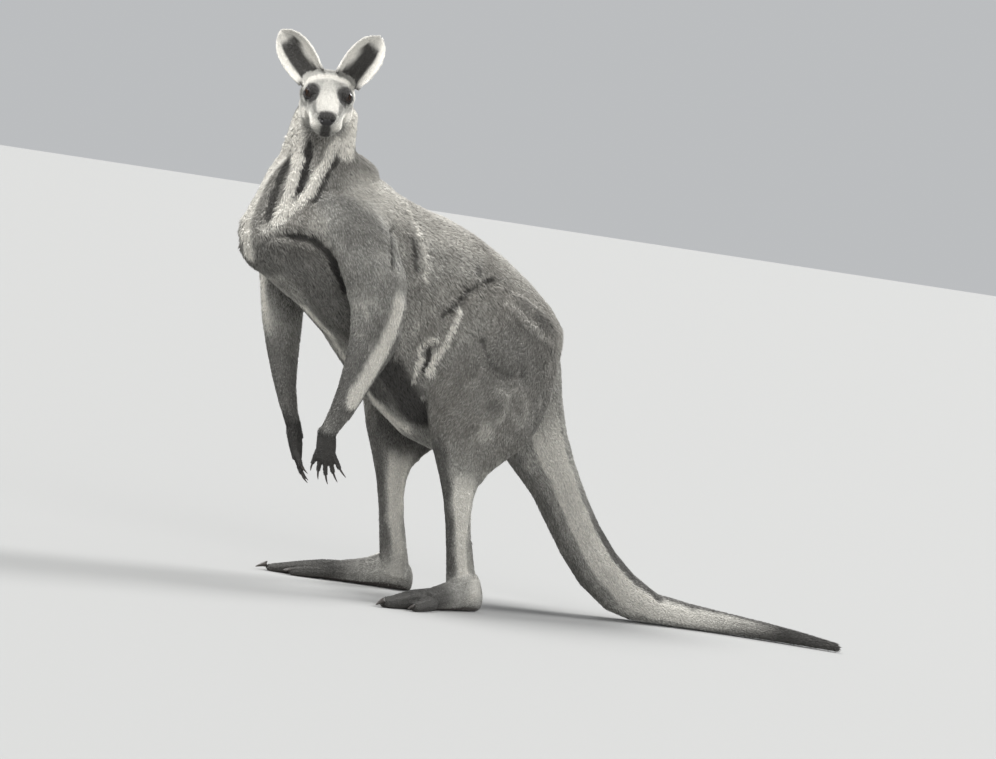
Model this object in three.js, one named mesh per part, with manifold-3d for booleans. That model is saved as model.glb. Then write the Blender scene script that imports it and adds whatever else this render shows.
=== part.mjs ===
// A grown male eastern grey kangaroo standing at rest, as a life-size still model.
//
// Millimetres, +Z up. The animal faces -Y, its left side is +X. Its head is turned to its
// left, its arms hang, both feet stand flat and the tail props it from behind.
// Every soft part is a loft: a closed skin over elliptic rings that follow a bent line.
// Each part is one solid. Where two parts meet, the second is cut back from a slightly
// grown copy of the first, which leaves a gap of about half a millimetre.

import * as THREE from "three";
import { mergeVertices } from "three/addons/utils/BufferGeometryUtils.js";
import Module from "manifold-3d";

const wasm = await Module();
wasm.setup();

// ---------------------------------------------------------------- driving dimensions

const GAP = 0.5; // clearance where parts meet
const STATURE = 0.95; // this animal's size against the tables, which draw a very large male
const CM = 10 * STATURE; // a centimetre of the tables and of the sizes here, in millimetres

const HEAD = { at: [7.4, -53.4, 106.6], turn: 62, nod: 18, tilt: 3 };
const EYE = { radius: 1.4, at: [3.9, -2.0, 2.15] };
const EAR = { length: 12.5, halfWidth: 4.3, thick: 0.42, lean: 20, turn: -8, at: [3.6, 4.2, 3.6] };
const EAR_SPLAY = { left: 35, right: 43 }; // each ear turns on its own
const FOOT = { heel: [13.4, 1.6], splay: 20, step: -1.5 }; // the right foot stands a little ahead
const CLAW = { toe: 3.4, smallToe: 1.5, finger: 2.3 };
const HAND = { palm: 4.6, finger: 3.9, spread: 14 };

// ---------------------------------------------------------------- solids and booleans

// A closed geometry as a manifold-3d solid.
function solid(geometry) {
  const bare = geometry.index ? geometry.toNonIndexed() : geometry.clone();
  bare.deleteAttribute("normal");
  bare.deleteAttribute("uv");
  const merged = mergeVertices(bare, 1e-3);
  return new wasm.Manifold(
    new wasm.Mesh({
      numProp: 3,
      vertProperties: merged.attributes.position.array,
      triVerts: new Uint32Array(merged.index.array),
    }),
  );
}

// A solid as a geometry, keeping only its largest body.
function geometryOf(made) {
  const bodies = made.decompose();
  const largest = bodies.reduce((a, b) => (b.volume() > a.volume() ? b : a));
  const mesh = largest.getMesh();
  const points = new Float32Array(mesh.numVert * 3);
  for (let i = 0; i < mesh.numVert; i++) {
    points.set(mesh.vertProperties.subarray(i * mesh.numProp, i * mesh.numProp + 3), i * 3);
  }
  const geometry = new THREE.BufferGeometry();
  geometry.setAttribute("position", new THREE.BufferAttribute(points, 3));
  geometry.setIndex(new THREE.BufferAttribute(mesh.triVerts, 1));
  geometry.computeVertexNormals();
  return geometry;
}

// All the space on the side of a plane that its normal points to.
function halfSpace(point, normal) {
  const size = 4000;
  const box = new THREE.BoxGeometry(size, size, size).translate(0, 0, size / 2);
  const turn = new THREE.Quaternion().setFromUnitVectors(
    new THREE.Vector3(0, 0, 1),
    normal.clone().normalize(),
  );
  box.applyQuaternion(turn);
  box.translate(point.x, point.y, point.z);
  return solid(box);
}

// Parts a solid in two with a thin plane cut: [the side the normal points to, the other].
function partAt(made, point, normal) {
  const step = normal.clone().setLength(GAP / 2);
  const ahead = halfSpace(point.clone().add(step), normal);
  const behind = halfSpace(point.clone().sub(step), normal.clone().negate());
  return [made.intersect(ahead), made.intersect(behind)];
}

const floor = halfSpace(new THREE.Vector3(0, 0, 0), new THREE.Vector3(0, 0, 1));
const standOn = (made) => made.intersect(floor);

// ---------------------------------------------------------------- lofts

const vector = ([x, y, z]) => new THREE.Vector3(x, y, z);

// Values of the stations' own numbers at a share of the way along them, on a smooth curve.
function smoothAt(rows, share) {
  const last = rows.length - 1;
  const place = Math.min(share * last, last - 1e-9);
  const i = Math.floor(place);
  const t = place - i;
  return rows[0].map((_, k) => {
    const [a, b, c, d] = [i - 1, i, i + 1, i + 2].map(
      (j) => rows[Math.min(Math.max(j, 0), last)][k],
    );
    const slope = [(c - a) / 2, (d - b) / 2];
    const [t2, t3] = [t * t, t * t * t];
    return (
      (2 * t3 - 3 * t2 + 1) * b +
      (t3 - 2 * t2 + t) * slope[0] +
      (-2 * t3 + 3 * t2) * c +
      (t3 - t2) * slope[1]
    );
  });
}

// A closed skin through elliptic rings. Each station has its upper and lower outline point,
// its half width to the side, how square the ring is, and how much its lower half narrows.
// Both ends are closed by a low dome.
function loft(stations, { around, rings, side = [1, 0, 0], grow = 0, dome = 0.35 }) {
  const rows = stations.map(({ top, bottom, wide, square = 2, narrow = 0, level = 0.5 }) => [
    ...top,
    ...bottom,
    wide,
    square,
    narrow,
    level,
  ]);
  const across = vector(side).normalize();
  const points = [];
  const addRing = (share, scale, push) => {
    const v = smoothAt(rows, share);
    const top = vector(v.slice(0, 3)).multiplyScalar(CM);
    const bottom = vector(v.slice(3, 6)).multiplyScalar(CM);
    const [wide, square, narrow, level] = [v[6] * CM, v[7], v[8], v[9]];
    const centre = bottom.clone().lerp(top, level);
    const up = top.clone().sub(bottom).normalize();
    const out = across.clone().addScaledVector(up, -across.dot(up)).normalize();
    const rise = centre.distanceTo(top) + grow;
    const drop = centre.distanceTo(bottom) + grow;
    for (let j = 0; j < around; j++) {
      const angle = (2 * Math.PI * j) / around;
      const [c, s] = [Math.cos(angle), Math.sin(angle)];
      const cs = Math.sign(c) * Math.abs(c) ** (2 / square);
      const sn = Math.sign(s) * Math.abs(s) ** (2 / square);
      const pinch = s < 0 ? 1 - narrow * s * s : 1;
      const p = centre
        .clone()
        .addScaledVector(out, (wide + grow) * cs * pinch * scale)
        .addScaledVector(up, (sn > 0 ? rise : drop) * sn * scale);
      points.push(p.add(push));
    }
    return centre;
  };
  const centreAt = (share) => {
    const v = smoothAt(rows, share);
    return vector(v.slice(3, 6)).lerp(vector(v.slice(0, 3)), v[9]).multiplyScalar(CM);
  };
  // The way out of each end, and how far its dome stands.
  const reach = (share) => {
    const v = smoothAt(rows, share);
    const high = vector(v.slice(0, 3)).distanceTo(vector(v.slice(3, 6)));
    return dome * CM * Math.min(v[6], high / 2);
  };
  const outOf = (share, inner) =>
    centreAt(share).sub(centreAt(inner)).setLength(reach(share) + grow);
  const startOut = outOf(0, 0.02);
  const endOut = outOf(1, 0.98);
  const shoulder = 0.72; // a ring part way up each dome
  addRing(0, shoulder, startOut.clone().multiplyScalar(0.62));
  for (let i = 0; i <= rings; i++) addRing(i / rings, 1, new THREE.Vector3());
  addRing(1, shoulder, endOut.clone().multiplyScalar(0.62));
  const ringCount = rings + 3;
  points.push(centreAt(0).add(startOut), centreAt(1).add(endOut));
  return skinOver(points, around, ringCount);
}

// Triangles over rings of points, with a pole at each end. Turned to face out.
function skinOver(points, around, ringCount) {
  const index = [];
  const at = (i, j) => i * around + (j % around);
  for (let i = 0; i < ringCount - 1; i++) {
    for (let j = 0; j < around; j++) {
      index.push(at(i, j), at(i, j + 1), at(i + 1, j));
      index.push(at(i, j + 1), at(i + 1, j + 1), at(i + 1, j));
    }
  }
  const [start, end] = [ringCount * around, ringCount * around + 1];
  for (let j = 0; j < around; j++) {
    index.push(start, at(0, j + 1), at(0, j));
    index.push(end, at(ringCount - 1, j), at(ringCount - 1, j + 1));
  }
  const geometry = new THREE.BufferGeometry().setFromPoints(points);
  geometry.setIndex(index);
  return facingOut(geometry);
}

// A closed geometry with its faces turned out, by the sign of its volume.
function facingOut(geometry) {
  const p = geometry.attributes.position;
  const index = geometry.index.array;
  const [a, b, c] = [new THREE.Vector3(), new THREE.Vector3(), new THREE.Vector3()];
  let volume = 0;
  for (let i = 0; i < index.length; i += 3) {
    a.fromBufferAttribute(p, index[i]);
    b.fromBufferAttribute(p, index[i + 1]);
    c.fromBufferAttribute(p, index[i + 2]);
    volume += a.dot(b.cross(c));
  }
  if (volume < 0) {
    for (let i = 0; i < index.length; i += 3) {
      [index[i + 1], index[i + 2]] = [index[i + 2], index[i + 1]];
    }
  }
  return geometry;
}

// An egg shape of three radii, in centimetres, placed by a matrix.
function egg(radii, at, { around = 14, grow = 0 } = {}) {
  const g = new THREE.SphereGeometry(1, around, Math.round(around * 0.6));
  g.scale(...radii.map((r) => r * CM + grow));
  g.translate(...at.map((v) => v * CM));
  return g;
}

// ---------------------------------------------------------------- the body's outlines
// Points are [y, z] in the animal's middle plane, from the rear forwards.

const midline = ([y, z]) => [0, y, z];

const TRUNK = [
  { top: [20.5, 61.5], bottom: [14.5, 44.5], wide: 6.0 },
  { top: [19.4, 66.4], bottom: [8.5, 36.5], wide: 9.8 },
  { top: [13.5, 71.6], bottom: [-1.0, 33.2], wide: 12.8 },
  { top: [4.5, 77.4], bottom: [-11.0, 33.8], wide: 14.6 },
  { top: [-5.0, 82.2], bottom: [-22.0, 40.6], wide: 15.4 },
  { top: [-15.0, 85.8], bottom: [-31.5, 48.4], wide: 15.4 },
  { top: [-24.0, 88.2], bottom: [-40.0, 56.6], wide: 14.6 },
  { top: [-31.8, 90.8], bottom: [-49.4, 62.8], wide: 14.0 },
  { top: [-38.0, 93.2], bottom: [-57.2, 66.6], wide: 13.4 },
  { top: [-42.6, 92.2], bottom: [-62.8, 71.2], wide: 12.2 },
  { top: [-46.4, 90.6], bottom: [-64.6, 75.4], wide: 9.6 },
].map((s) => ({ ...s, top: midline(s.top), bottom: midline(s.bottom), square: 2.1 }));

const NECK = [
  { top: [-30.0, 80.0], bottom: [-61.0, 67.0], wide: 11.6 },
  { top: [-31.6, 88.0], bottom: [-64.6, 77.4], wide: 11.4 },
  { top: [-34.6, 93.8], bottom: [-61.2, 87.0], wide: 9.2 },
  { top: [-40.6, 97.6], bottom: [-57.3, 93.8], wide: 7.5 },
  { top: [-41.1, 102.0], bottom: [-56.4, 99.6], wide: 7.4 },
  { top: [-41.6, 105.4], bottom: [-55.6, 103.4], wide: 7.1 },
  { top: [-45.4, 109.2], bottom: [-53.6, 107.6], wide: 4.8 },
].map((s) => ({ ...s, top: midline(s.top), bottom: midline(s.bottom) }));

// The tail swings to the animal's left along the ground, so its points have an x too.
const TAIL = [
  { top: [0, 16.0, 66.0], bottom: [0, 3.0, 46.0], wide: 9.0 },
  { top: [0, 20.4, 61.6], bottom: [0, 7.0, 40.0], wide: 8.6 },
  { top: [0, 22.3, 53.6], bottom: [0, 11.0, 35.0], wide: 7.8 },
  { top: [0, 25.4, 44.2], bottom: [0, 16.2, 30.4], wide: 6.8 },
  { top: [0, 30.2, 35.2], bottom: [0, 22.2, 25.2], wide: 5.8 },
  { top: [0, 35.8, 26.8], bottom: [0, 28.4, 17.6], wide: 5.1 },
  { top: [0.2, 42.4, 18.8], bottom: [0.2, 35.2, 9.6], wide: 4.6 },
  { top: [0.8, 49.8, 12.2], bottom: [0.8, 43.6, 2.8], wide: 4.2 },
  { top: [1.8, 58.4, 7.2], bottom: [1.8, 54.8, -0.5], wide: 3.7 },
  { top: [4.6, 69.0, 5.6], bottom: [4.6, 68.0, -0.5], wide: 3.2 },
  { top: [9.4, 79.4, 4.6], bottom: [9.4, 79.2, -0.4], wide: 2.7 },
  { top: [15.4, 89.0, 3.6], bottom: [15.4, 89.0, -0.4], wide: 2.1 },
  { top: [21.4, 97.2, 2.3], bottom: [21.4, 97.2, -0.3], wide: 1.2 },
];

// One hind leg from the hip to the ankle, for the left side. Front is the top of each ring.
const LEG = [
  { x: 8.0, front: [-3.0, 72.6], back: [14.0, 64.0], wide: 6.0 },
  { x: 9.8, front: [-9.5, 67.5], back: [15.4, 53.0], wide: 7.2 },
  { x: 11.4, front: [-14.5, 60.5], back: [12.6, 43.4], wide: 7.5 },
  { x: 12.6, front: [-18.0, 53.6], back: [7.2, 36.4], wide: 7.0 },
  { x: 13.2, front: [-19.0, 46.8], back: [1.6, 32.2], wide: 5.9 },
  { x: 13.5, front: [-17.2, 39.4], back: [-2.0, 29.0], wide: 4.7 },
  { x: 13.6, front: [-13.4, 31.0], back: [-3.4, 25.6], wide: 3.5 },
  { x: 13.6, front: [-10.5, 24.0], back: [-3.4, 21.2], wide: 2.8 },
  { x: 13.5, front: [-8.3, 16.0], back: [-1.8, 14.4], wide: 2.5 },
  { x: 13.4, front: [-6.8, 9.0], back: [0.5, 8.0], wide: 2.7 },
  { x: 13.4, front: [-5.6, 3.4], back: [1.6, 2.6], wide: 2.6 },
];

// One arm from the shoulder to the wrist. Points are whole: front, back.
const ARMS = {
  left: [
    { front: [8.0, -54.0, 86.0], back: [9.0, -38.0, 87.0], wide: 4.4 },
    { front: [12.4, -52.4, 80.0], back: [13.2, -34.0, 79.0], wide: 5.6 },
    { front: [15.2, -48.4, 72.0], back: [16.0, -31.0, 69.8], wide: 5.4 },
    { front: [15.8, -45.2, 66.4], back: [16.4, -30.4, 62.4], wide: 4.8 },
    { front: [15.7, -43.2, 61.2], back: [16.4, -31.2, 55.8], wide: 4.3 },
    { front: [15.0, -42.4, 54.6], back: [15.6, -33.8, 50.4], wide: 3.6 },
    { front: [14.0, -42.3, 48.0], back: [14.4, -35.6, 45.4], wide: 3.0 },
    { front: [13.2, -43.0, 42.0], back: [13.5, -37.6, 40.2], wide: 2.5 },
    { front: [12.7, -43.8, 38.2], back: [12.9, -39.6, 37.0], wide: 2.2 },
    { front: [12.4, -44.6, 35.4], back: [12.6, -40.8, 34.6], wide: 2.1 },
  ],
  right: [
    { front: [-8.0, -54.0, 86.0], back: [-9.0, -38.0, 87.0], wide: 4.4 },
    { front: [-12.4, -53.0, 80.0], back: [-13.2, -35.6, 79.0], wide: 5.4 },
    { front: [-15.0, -50.8, 71.6], back: [-15.8, -35.6, 69.4], wide: 5.0 },
    { front: [-15.4, -49.0, 64.4], back: [-16.0, -37.0, 62.0], wide: 4.4 },
    { front: [-15.2, -47.2, 57.0], back: [-15.8, -36.8, 53.6], wide: 3.9 },
    { front: [-14.4, -45.0, 50.0], back: [-14.9, -36.9, 47.2], wide: 3.2 },
    { front: [-12.9, -42.4, 42.0], back: [-13.2, -36.8, 40.0], wide: 2.5 },
    { front: [-11.7, -39.8, 36.0], back: [-11.9, -35.2, 34.6], wide: 2.1 },
    { front: [-11.1, -38.4, 32.8], back: [-11.3, -34.5, 32.0], wide: 2.0 },
  ],
};

// The head in its own frame: the nose points to -Y, and the origin lies between the eyes.
const SKULL = [
  { y: 8.4, top: 2.4, bottom: -3.6, wide: 3.4, narrow: 0.0, level: 0.55 },
  { y: 6.2, top: 5.3, bottom: -5.6, wide: 5.0, narrow: 0.08, level: 0.56 },
  { y: 3.2, top: 6.0, bottom: -6.8, wide: 5.8, narrow: 0.24, level: 0.58 },
  { y: 0.4, top: 5.4, bottom: -6.6, wide: 5.4, narrow: 0.26, level: 0.6 },
  { y: -2.2, top: 4.5, bottom: -5.7, wide: 4.6, narrow: 0.24, level: 0.57 },
  { y: -4.8, top: 3.6, bottom: -4.7, wide: 3.95, narrow: 0.16, level: 0.52 },
  { y: -7.6, top: 2.9, bottom: -3.7, wide: 3.55, narrow: 0.05, level: 0.46 },
  { y: -10.0, top: 2.4, bottom: -3.3, wide: 3.4, narrow: 0.0, level: 0.4 },
  { y: -12.0, top: 1.9, bottom: -2.9, wide: 3.15, narrow: 0.0, level: 0.4 },
  { y: -13.2, top: 1.1, bottom: -2.2, wide: 2.4, narrow: 0.0, level: 0.42 },
].map((s) => ({ ...s, square: 2.25 }));

const JAW = [
  { y: 4.0, top: -1.5, bottom: -7.3, wide: 4.0 },
  { y: 0.6, top: -1.5, bottom: -7.4, wide: 3.8 },
  { y: -3.0, top: -1.5, bottom: -6.4, wide: 3.3 },
  { y: -6.6, top: -1.2, bottom: -5.4, wide: 2.95 },
  { y: -9.4, top: -1.2, bottom: -4.8, wide: 2.7 },
  { y: -11.4, top: -1.4, bottom: -4.2, wide: 2.1 },
];

// ---------------------------------------------------------------- makers of the parts

// The frame of the turned, nodding, tilted head.
const headFrame = new THREE.Matrix4()
  .makeTranslation(vector(HEAD.at).multiplyScalar(CM))
  .multiply(new THREE.Matrix4().makeRotationZ(THREE.MathUtils.degToRad(HEAD.turn)))
  .multiply(new THREE.Matrix4().makeRotationX(THREE.MathUtils.degToRad(HEAD.nod)))
  .multiply(new THREE.Matrix4().makeRotationY(THREE.MathUtils.degToRad(-HEAD.tilt)));

function headSolid(grow = 0) {
  const inPlane = ({ y, top, bottom, ...rest }) => ({
    ...rest,
    top: [0, y, top],
    bottom: [0, y, bottom],
  });
  const skull = loft(SKULL.map(inPlane), { around: 18, rings: 11, grow, dome: 0.4 });
  const jaw = loft(JAW.map(inPlane), { around: 10, rings: 5, grow, dome: 0.5 });
  let made = solid(skull).add(solid(jaw));
  for (const s of [1, -1]) {
    // Cheek muscle, rim of the eye socket, full upper lip, root of the ear.
    made = made.add(solid(egg([2.7, 4.8, 4.2], [s * 3.2, 2.6, -2.4], { grow, around: 9 })));
    made = made.add(solid(egg([2.35, 3.1, 2.3], [s * 2.75, -0.9, 2.15], { grow, around: 9 })));
    made = made.add(solid(egg([1.5, 2.4, 1.7], [s * 2.1, -10.4, -1.5], { grow, around: 8 })));
    made = made.add(solid(egg([2.1, 2.2, 2.1], [s * 3.9, 4.4, 2.5], { grow, around: 8 })));
  }
  return made.transform([...headFrame.elements]);
}

function eyeSolid(s, grow = 0) {
  const [x, y, z] = EYE.at;
  const r = EYE.radius;
  return solid(egg([r, r, r], [s * x, y, z], { around: 10, grow })).transform([
    ...headFrame.elements,
  ]);
}

// A cupped leaf with a tubular foot. The share s runs from foot to tip, t from edge to edge.
function earSolid(side, s) {
  const { length, halfWidth, thick, lean, turn, at } = EAR;
  const [steps, spans] = [7, 7];
  const widthAt = (v) => halfWidth * (0.72 + 0.62 * v) * Math.max(1 - v ** 2.2, 0.02) ** 0.62;
  const curlAt = (v) => THREE.MathUtils.degToRad(112 - 58 * v ** 0.6);
  const pointOn = (v, t, offset) => {
    const curl = curlAt(v);
    const bend = curl > Math.PI / 2 ? 1 : Math.sin(curl);
    const radius = widthAt(v) / bend;
    const angle = (t * 2 - 1) * curl;
    const r = radius + offset;
    // Opening towards -Y, the back of the leaf towards +Y, leaning back a little at the tip.
    return new THREE.Vector3(
      r * Math.sin(angle),
      r * Math.cos(angle) - radius * 0.75 + 0.9 * v * v,
      length * v,
    ).multiplyScalar(CM);
  };
  const points = [];
  const ring = 2 * (spans + 1);
  for (let i = 0; i <= steps; i++) {
    const v = Math.sin((i / steps) * (Math.PI / 2)); // closer rows towards the round tip
    const half = thick * (v < 0.9 ? 0.5 : 0.34);
    for (let j = 0; j <= spans; j++) points.push(pointOn(v, j / spans, half));
    for (let j = spans; j >= 0; j--) points.push(pointOn(v, j / spans, -half));
  }
  // Both ends close on the shell's own mid line, as strips from outer to inner points.
  const index = [];
  for (let i = 0; i < steps; i++) {
    for (let j = 0; j < ring; j++) {
      const [a, b] = [i * ring + j, i * ring + ((j + 1) % ring)];
      index.push(a, b, a + ring, b, b + ring, a + ring);
    }
  }
  for (const [row, flip] of [
    [0, true],
    [steps, false],
  ]) {
    for (let j = 0; j < spans; j++) {
      const outer = [row * ring + j, row * ring + j + 1];
      const inner = [row * ring + ring - 1 - j, row * ring + ring - 2 - j];
      const quad = [outer[0], outer[1], inner[0], outer[1], inner[1], inner[0]];
      index.push(...(flip ? [...quad].reverse() : quad));
    }
  }
  const g = new THREE.BufferGeometry().setFromPoints(points);
  g.setIndex(index);
  facingOut(g);
  const [x, y, z] = at.map((v) => v * CM);
  g.applyMatrix4(
    new THREE.Matrix4()
      .makeTranslation(s * x, y, z)
      .multiply(new THREE.Matrix4().makeRotationY(THREE.MathUtils.degToRad(s * EAR_SPLAY[side])))
      .multiply(new THREE.Matrix4().makeRotationX(THREE.MathUtils.degToRad(-lean)))
      .multiply(new THREE.Matrix4().makeRotationZ(THREE.MathUtils.degToRad(s * turn))),
  );
  return solid(g).transform([...headFrame.elements]);
}

function legSolid(s, grow = 0) {
  const stepped = ([y, z]) => [y + stepOf(s) * (1 - z / 75), z];
  const stations = LEG.map(({ x, front, back, wide }) => ({
    top: [s * x, ...stepped(front)],
    bottom: [s * x, ...stepped(back)],
    wide,
    square: 2.1,
  }));
  return solid(loft(stations, { around: 12, rings: 13, grow, dome: 0.3 }));
}

function armSolid(name, grow = 0) {
  const stations = ARMS[name].map(({ front, back, wide }) => ({ top: front, bottom: back, wide }));
  return solid(loft(stations, { around: 10, rings: 10, grow, dome: 0.4 }));
}

// The frame of a foot: its origin on the floor at the heel, -Y along the foot.
const stepOf = (s) => (s < 0 ? FOOT.step : 0);
const footFrame = (s) =>
  new THREE.Matrix4()
    .makeTranslation(s * FOOT.heel[0] * CM, (FOOT.heel[1] + stepOf(s)) * CM, 0)
    .multiply(new THREE.Matrix4().makeRotationZ(THREE.MathUtils.degToRad(s * FOOT.splay)));

// Stations along a foot or toe: distance from the heel, offset to the outside, rise, half width.
const alongFoot = (s, rows) =>
  rows.map(([along, out, low, high, wide]) => ({
    top: [s * out, -along, high],
    bottom: [s * out, -along, low],
    wide,
    square: 2.3,
  }));

function footSolid(s, grow = 0) {
  const sole = loft(
    alongFoot(s, [
      [-0.6, 0.0, -0.2, 5.2, 1.9],
      [1.4, 0.0, -0.4, 8.2, 2.7],
      [4.6, 0.0, -0.4, 9.2, 3.0],
      [8.0, 0.0, -0.4, 7.2, 2.9],
      [12.0, 0.0, -0.4, 5.2, 2.8],
      [18.0, 0.0, -0.4, 4.3, 3.0],
      [23.0, 0.0, -0.4, 3.9, 3.0],
      [27.5, 0.0, -0.4, 3.2, 2.1],
      [31.6, 0.0, -0.4, 2.7, 1.7],
    ]),
    { around: 10, rings: 7, grow, dome: 0.6 },
  );
  const outerToe = loft(
    alongFoot(s, [
      [17.0, 1.8, -0.3, 3.0, 1.4],
      [22.0, 3.3, -0.3, 2.8, 1.4],
      [26.6, 4.3, -0.3, 2.1, 1.1],
    ]),
    { around: 6, rings: 2, grow, dome: 0.6 },
  );
  const innerToes = loft(
    alongFoot(s, [
      [18.0, -1.9, 0.4, 3.0, 1.2],
      [23.0, -2.9, 0.0, 2.6, 1.2],
      [27.2, -3.3, -0.2, 1.9, 1.0],
    ]),
    { around: 6, rings: 2, grow, dome: 0.6 },
  );
  const made = solid(sole).add(solid(outerToe)).add(solid(innerToes));
  return standOn(made.transform([...footFrame(s).elements]));
}

// A bent cone: from the root to the tip, dropping as it goes.
function clawLoft(root, way, down, length, radius) {
  const stations = [0, 0.55, 1].map((share) => {
    const centre = vector(root)
      .addScaledVector(vector(way), length * share)
      .addScaledVector(vector(down), length * 0.32 * share * share);
    const r = radius * (1 - 0.86 * share ** 1.4);
    const up = vector(down).multiplyScalar(-r);
    return {
      top: centre.clone().add(up).toArray(),
      bottom: centre.clone().sub(up).toArray(),
      wide: r * 0.8,
    };
  });
  const acrossWay = vector(way).cross(vector(down)).toArray();
  return solid(loft(stations, { around: 5, rings: 2, side: acrossWay, dome: 0 }));
}

// Toe claws: name, distance from heel, offset outwards, height, length, radius.
const TOE_CLAWS = [
  ["fourth", 31.4, 0.0, 1.6, CLAW.toe, 0.95],
  ["fifth", 26.6, 4.35, 1.25, CLAW.toe * 0.72, 0.65],
  ["third", 27.6, -2.95, 1.25, CLAW.smallToe, 0.42],
  ["second", 27.4, -3.85, 1.25, CLAW.smallToe, 0.42],
];

function toeClaws(s) {
  return TOE_CLAWS.map(([name, along, out, high, length, radius]) => {
    const made = clawLoft([s * out, -along, high], [0, -1, 0], [0, 0, -1], length, radius);
    return [name, made.transform([...footFrame(s).elements])];
  });
}

// A hand's frame: origin at the wrist, -Z along the fingers, palm towards +Y and inwards.
const HANDS = {
  left: { at: [12.5, -42.7, 34.6], turn: 28, swing: 8, fan: -2 },
  right: { at: [-11.2, -36.6, 32.0], turn: -24, swing: 16, fan: -2 },
};

const handFrame = ({ at, turn, swing, fan }) =>
  new THREE.Matrix4()
    .makeTranslation(vector(at).multiplyScalar(CM))
    .multiply(new THREE.Matrix4().makeRotationZ(THREE.MathUtils.degToRad(turn)))
    .multiply(new THREE.Matrix4().makeRotationX(THREE.MathUtils.degToRad(swing)))
    .multiply(new THREE.Matrix4().makeRotationY(THREE.MathUtils.degToRad(fan)));

const FINGERS = ["thumb", "index", "middle", "ring", "little"];
const FINGER_REACH = [0.72, 0.95, 1, 0.93, 0.78];

// Where each finger starts and the way it points, spread like a fan.
function fingerLine(i, s) {
  const place = i - 2;
  const angle = THREE.MathUtils.degToRad(place * HAND.spread);
  const root = [s * place * 1.05, -0.1, -HAND.palm + 0.35 * Math.abs(place)];
  const way = [s * Math.sin(angle), 0.16, -Math.cos(angle)];
  const length = HAND.finger * FINGER_REACH[i];
  const tip = root.map((v, k) => v + way[k] * length);
  return { root, way, tip };
}

function handSolid(name, s, grow = 0) {
  const palm = loft(
    [
      { top: [0, -1.9, 1.6], bottom: [0, 1.9, 1.6], wide: 2.2 },
      { top: [0, -1.7, -0.8], bottom: [0, 1.7, -0.8], wide: 2.3 },
      { top: [0, -1.4, -3.0], bottom: [0, 1.5, -3.0], wide: 2.8 },
      { top: [0, -1.1, -5.0], bottom: [0, 1.1, -5.0], wide: 2.6 },
    ],
    { around: 8, rings: 2, grow, dome: 0.5 },
  );
  let made = solid(palm);
  FINGERS.forEach((_, i) => {
    const { root, way, tip } = fingerLine(i, s);
    const rings = [-0.25, 0.4, 1].map((share, k) => {
      const centre = root.map((v, axis) => v + (tip[axis] - v) * share);
      const r = [0.8, 0.72, 0.56][k];
      return {
        top: [centre[0], centre[1] - r, centre[2]],
        bottom: [centre[0], centre[1] + r, centre[2]],
        wide: r,
      };
    });
    const side = [Math.abs(way[2]), 0, way[0]];
    made = made.add(solid(loft(rings, { around: 5, rings: 1, side, grow, dome: 0.6 })));
  });
  return made.transform([...handFrame(HANDS[name]).elements]);
}

function fingerClaws(name, s) {
  return FINGERS.map((finger, i) => {
    const { way, tip } = fingerLine(i, s);
    const made = clawLoft(tip, way, [0, 1, 0], CLAW.finger, 0.4);
    return [finger, made.transform([...handFrame(HANDS[name]).elements])];
  });
}

// ---------------------------------------------------------------- parting into nodes

const FUR = { grey: 0x8a8279, dark: 0x3f3a36 };
const FINISH = {
  coat: { color: FUR.grey, roughness: 0.95 },
  coatDark: { color: FUR.dark, roughness: 0.95 },
  horn: { color: 0x2b2724, roughness: 0.45 },
  eye: { color: 0x17110d, roughness: 0.08 },
};

const kangaroo = new THREE.Group();

function addNode(name, made, finish) {
  const material = new THREE.MeshStandardMaterial({ ...finish, metalness: 0 });
  const mesh = new THREE.Mesh(geometryOf(made), material);
  mesh.name = name;
  kangaroo.add(mesh);
}

const trunk = (grow) => solid(loft(TRUNK, { around: 22, rings: 12, grow, dome: 0.2 }));
const neck = (grow) => solid(loft(NECK, { around: 13, rings: 6, grow, dome: 0.25 }));
const tail = (grow) => standOn(solid(loft(TAIL, { around: 12, rings: 15, grow, dome: 0.6 })));

const grownTrunk = trunk(GAP);
const grownTail = tail(GAP);
const grownNeck = neck(GAP);
const grownHead = headSolid(GAP);

addNode("trunk", trunk(0), FINISH.coat);
addNode("neck", neck(0).subtract(trunk(GAP * 2)).subtract(grownHead), FINISH.coat);

let head = headSolid();
for (const [side, s] of [
  ["left", 1],
  ["right", -1],
]) {
  head = head.subtract(eyeSolid(s, GAP));
  addNode("eye_" + side, eyeSolid(s), FINISH.eye);
  addNode("ear_" + side, earSolid(side, s).subtract(grownHead), FINISH.coat);
}
addNode("head", head, FINISH.coat);

// The tail in three lengths.
const tailCuts = [
  [vector([0, 27, 26]).multiplyScalar(CM), new THREE.Vector3(0, 0.68, -0.73)],
  [vector([2, 60, 4]).multiplyScalar(CM), new THREE.Vector3(0.12, 1, -0.05)],
];
const [lowerTail, tailBase] = partAt(tail(0).subtract(grownTrunk), ...tailCuts[0]);
const [tailTip, tailMiddle] = partAt(lowerTail, ...tailCuts[1]);
addNode("tail_base", tailBase, FINISH.coat);
addNode("tail_middle", tailMiddle, FINISH.coat);
addNode("tail_tip", tailTip, FINISH.coatDark);

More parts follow.
